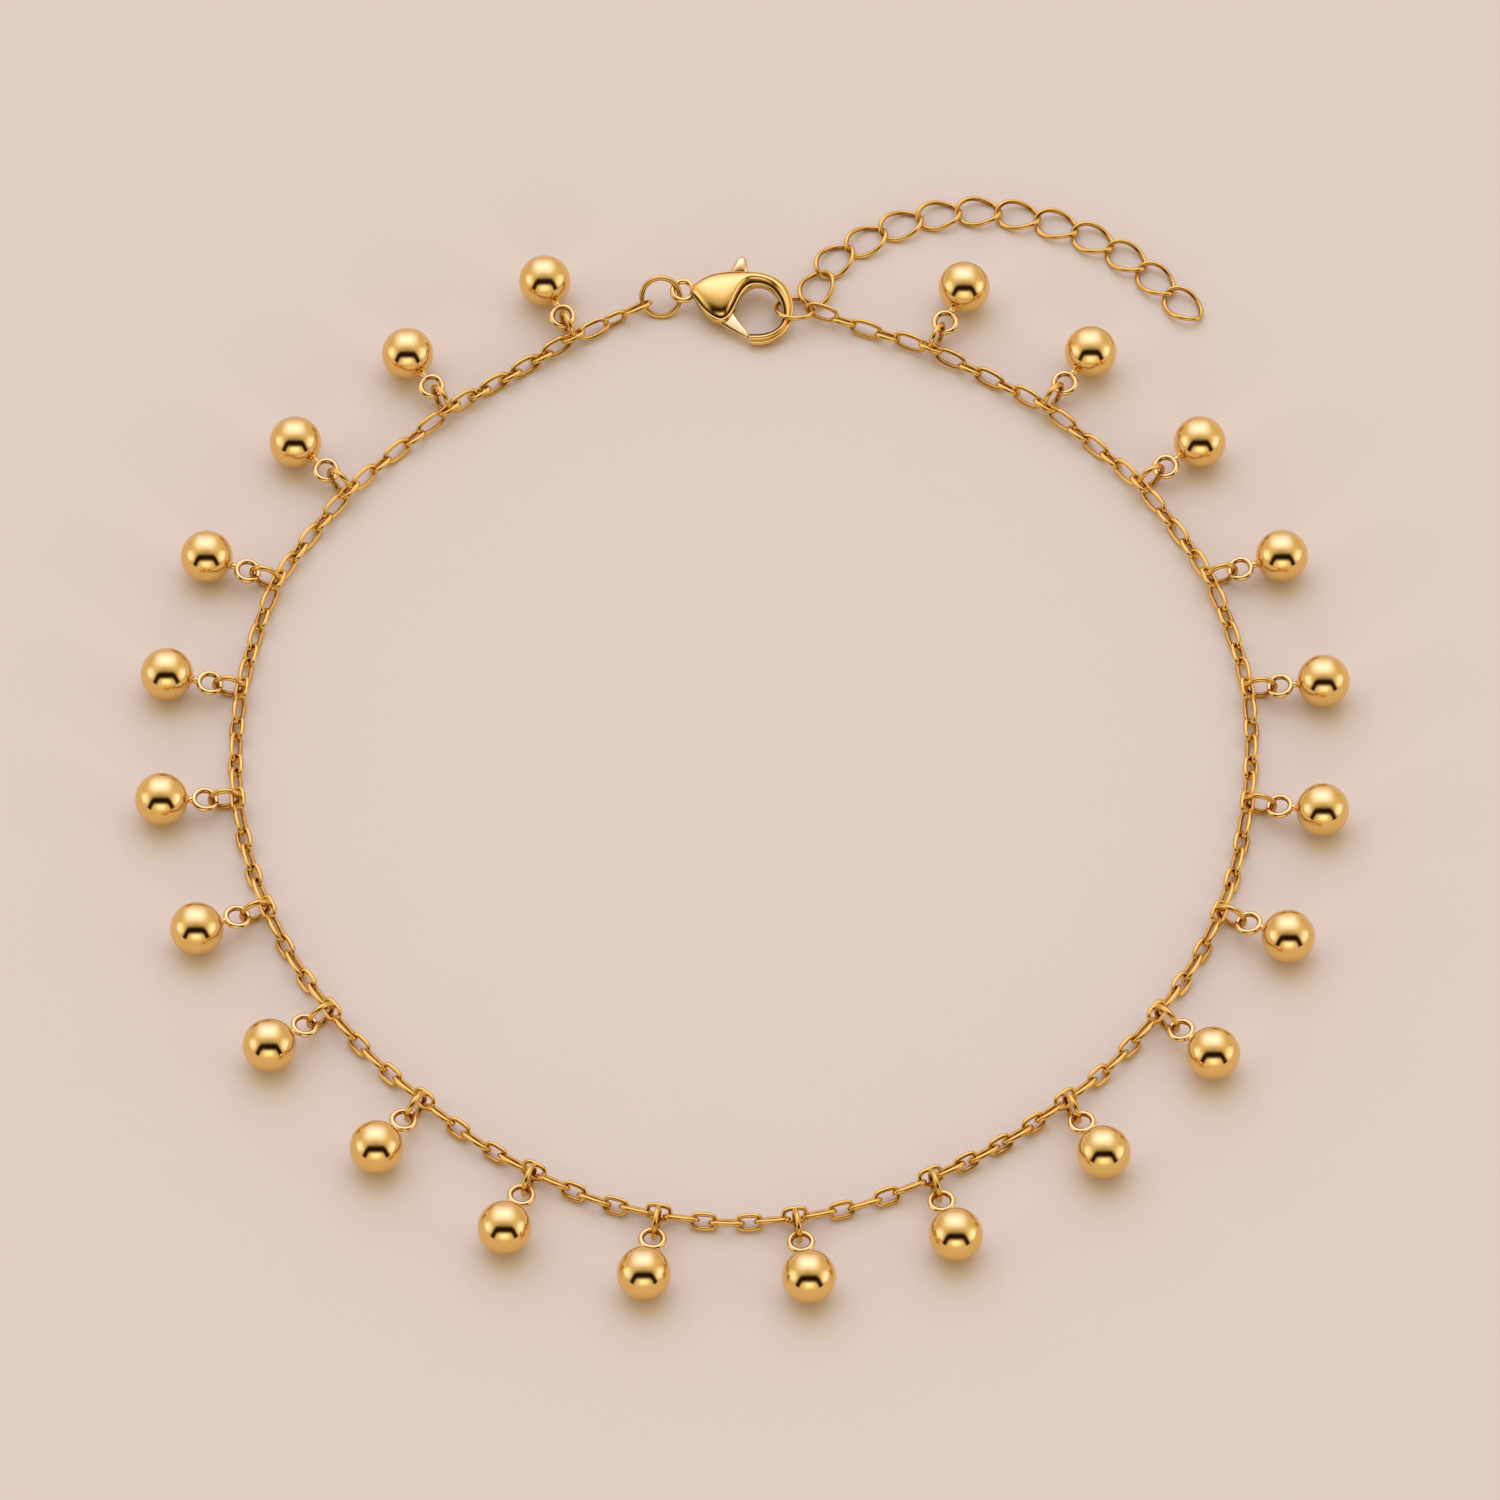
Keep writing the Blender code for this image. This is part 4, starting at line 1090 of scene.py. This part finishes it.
def vector_calc(tree, operation, first, second=None):
    """One sum of directions or colours. Each is a socket or three numbers."""
    made = node(tree, "ShaderNodeVectorMath", operation=operation)
    feed(tree, made.inputs[0], first)
    if second is not None:
        feed(tree, made.inputs["Scale" if operation == "SCALE" else 1], second)
    return made.outputs["Value" if operation == "DOT_PRODUCT" else "Vector"]


def soft_panel(tree, x, y, middle, half, edge):
    """A panel with soft edges, where x and y place it as a ball mirrors it."""
    sides = []
    for value, centre, reach in ((x, middle[0], half[0]), (y, middle[1], half[1])):
        away = calc(tree, "ABSOLUTE", calc(tree, "SUBTRACT", value, centre))
        fade = node(tree, "ShaderNodeMapRange", interpolation_type="SMOOTHSTEP")
        fade.inputs["From Min"].default_value = reach + edge
        fade.inputs["From Max"].default_value = max(reach - edge, 0.0)
        tree.links.new(away, fade.inputs["Value"])
        sides.append(fade.outputs["Result"])
    return calc(tree, "MULTIPLY", *sides)


def glow(tree, x, y, middle, spread):
    """A bright patch that fades all round."""
    parts = []
    for value, centre, reach in ((x, middle[0], spread[0]), (y, middle[1], spread[1])):
        share = calc(tree, "DIVIDE", calc(tree, "SUBTRACT", value, centre), reach)
        parts.append(calc(tree, "MULTIPLY", share, share))
    return calc(tree, "EXPONENT", calc(tree, "MULTIPLY", calc(tree, "ADD", *parts), -1.0))


def blend_colour(tree, factor, below, above):
    """Mix two colours, each a socket or a colour."""
    mix = node(tree, "ShaderNodeMix", data_type="RGBA")
    feed(tree, mix.inputs["Factor"], factor)
    for name, value in (("A", below), ("B", above)):
        slot = [s for s in mix.inputs if s.name == name and s.type == "RGBA"][0]
        feed(tree, slot, (*value, 1.0) if isinstance(value, tuple) else value)
    return [s for s in mix.outputs if s.type == "RGBA"][0]


def camera_side(studio):
    """The direction from the choker to the camera."""
    return Vector((0.0, -math.cos(studio.elevation), math.sin(studio.elevation)))


def studio_world(studio):
    """A soft studio round the choker: a large soft light behind it and dark panels by the camera."""
    back = camera_side(studio)
    world = bpy.data.worlds.new("studio")
    world.use_nodes = True
    tree = world.node_tree
    tree.nodes.clear()
    where = node(tree, "ShaderNodeTexCoord")
    unit = vector_calc(tree, "NORMALIZE", vector_calc(tree, "ADD", where.outputs["Generated"], back))
    x = vector_calc(tree, "DOT_PRODUCT", unit, RIGHT)
    y = vector_calc(tree, "DOT_PRODUCT", unit, back.cross(RIGHT))
    colour = blend_colour(tree, glow(tree, x, y, *GLOW), FAR_COLOUR, GLOW_COLOUR)
    for middle, size, edge, panel_colour in LIGHT_PANELS:
        panel = vector_calc(tree, "SCALE", panel_colour, soft_panel(tree, x, y, middle, size, edge))
        colour = vector_calc(tree, "ADD", colour, panel)
    middle, spread, amount = SHADE
    shade = calc(tree, "MULTIPLY", glow(tree, x, y, middle, spread), amount)
    colour = vector_calc(tree, "SCALE", colour, calc(tree, "SUBTRACT", 1.0, shade))
    keep = None
    for middle, size, edge, slant in DARK_PANELS:
        across = calc(tree, "ADD", x, calc(tree, "MULTIPLY", y, slant))
        panel = calc(tree, "SUBTRACT", 1.0, soft_panel(tree, across, y, middle, size, edge))
        keep = panel if keep is None else calc(tree, "MULTIPLY", keep, panel)
    colour = blend_colour(tree, keep, DARKEST, colour)
    sky = node(tree, "ShaderNodeBackground")
    sky.inputs["Strength"].default_value = studio.light
    tree.links.new(colour, sky.inputs["Color"])
    end = node(tree, "ShaderNodeOutputWorld")
    tree.links.new(sky.outputs[0], end.inputs["Surface"])
    bpy.context.scene.world = world


def add_surface(studio):
    """The plain pale surface that the choker lies on."""
    half = studio.surface_half
    corners = [(-half, -half, 0), (half, -half, 0), (half, half, 0), (-half, half, 0)]
    material = bpy.data.materials.new("pale_surface")
    material.use_nodes = True
    shader = material.node_tree.nodes["Principled BSDF"]
    shader.inputs["Base Color"].default_value = (*studio.surface, 1.0)
    shader.inputs["Roughness"].default_value = 0.75
    shader.inputs["Specular IOR Level"].default_value = 0.2
    surface = add_object("surface", make_mesh("surface", corners, [(0, 1, 2, 3)]), material)


def add_camera(studio):
    """The camera at the photo's angle."""
    back = camera_side(studio)
    data = bpy.data.cameras.new("camera")
    data.lens = studio.lens
    data.sensor_width = 36.0
    data.clip_start = 0.05
    data.clip_end = 20.0
    camera = bpy.data.objects.new("camera", data)
    bpy.context.scene.collection.objects.link(camera)
    camera.location = Vector(studio.aim) + studio.distance * back
    camera.rotation_euler = (-back).to_track_quat("-Z", "Y").to_euler()
    bpy.context.scene.camera = camera


class CHOKER_OT_studio(bpy.types.Operator):
    """Set up the surface, the light and the camera"""

    bl_idname = "choker.studio"
    bl_label = "Studio"

    def execute(self, context):
        studio = context.scene.choker_studio
        studio_world(studio)
        add_surface(studio)
        add_camera(studio)
        context.scene.view_settings.view_transform = "Standard"
        return {"FINISHED"}


class CHOKER_PT_panel(bpy.types.Panel):
    """The choker's sizes, finish and steps"""

    bl_idname = "CHOKER_PT_panel"
    bl_label = "Choker"
    bl_space_type = "VIEW_3D"
    bl_region_type = "UI"
    bl_category = "Choker"

    def draw(self, context):
        for group in (context.scene.choker_sizes, context.scene.choker_finish, context.scene.choker_studio):
            box = self.layout.box()
            for name in group.__annotations__:
                box.prop(group, name)
        for step in STEPS:
            self.layout.operator(step.bl_idname)


GROUPS = (ChokerSizes, ChokerFinish, ChokerStudio)
STEPS = (
    CHOKER_OT_balls, CHOKER_OT_jump_rings, CHOKER_OT_cable_chain, CHOKER_OT_extension,
    CHOKER_OT_large_rings, CHOKER_OT_clasp, CHOKER_OT_lever, CHOKER_OT_studio,
)


def register():
    """Add the choker's settings, steps and panel to Blender."""
    for item in (*GROUPS, *STEPS, CHOKER_PT_panel):
        bpy.utils.register_class(item)
    bpy.types.Scene.choker_sizes = bpy.props.PointerProperty(type=ChokerSizes)
    bpy.types.Scene.choker_finish = bpy.props.PointerProperty(type=ChokerFinish)
    bpy.types.Scene.choker_studio = bpy.props.PointerProperty(type=ChokerStudio)


def unregister():
    """Take them away again."""
    del bpy.types.Scene.choker_sizes
    del bpy.types.Scene.choker_finish
    del bpy.types.Scene.choker_studio
    for item in reversed((*GROUPS, *STEPS, CHOKER_PT_panel)):
        bpy.utils.unregister_class(item)


def main():
    """Make the whole choker and its studio."""
    register()
    bpy.ops.choker.balls()
    bpy.ops.choker.jump_rings()
    bpy.ops.choker.cable_chain()
    bpy.ops.choker.extension()
    bpy.ops.choker.large_rings()
    bpy.ops.choker.clasp()
    bpy.ops.choker.lever()
    bpy.ops.choker.studio()


if __name__ == "__main__":
    main()
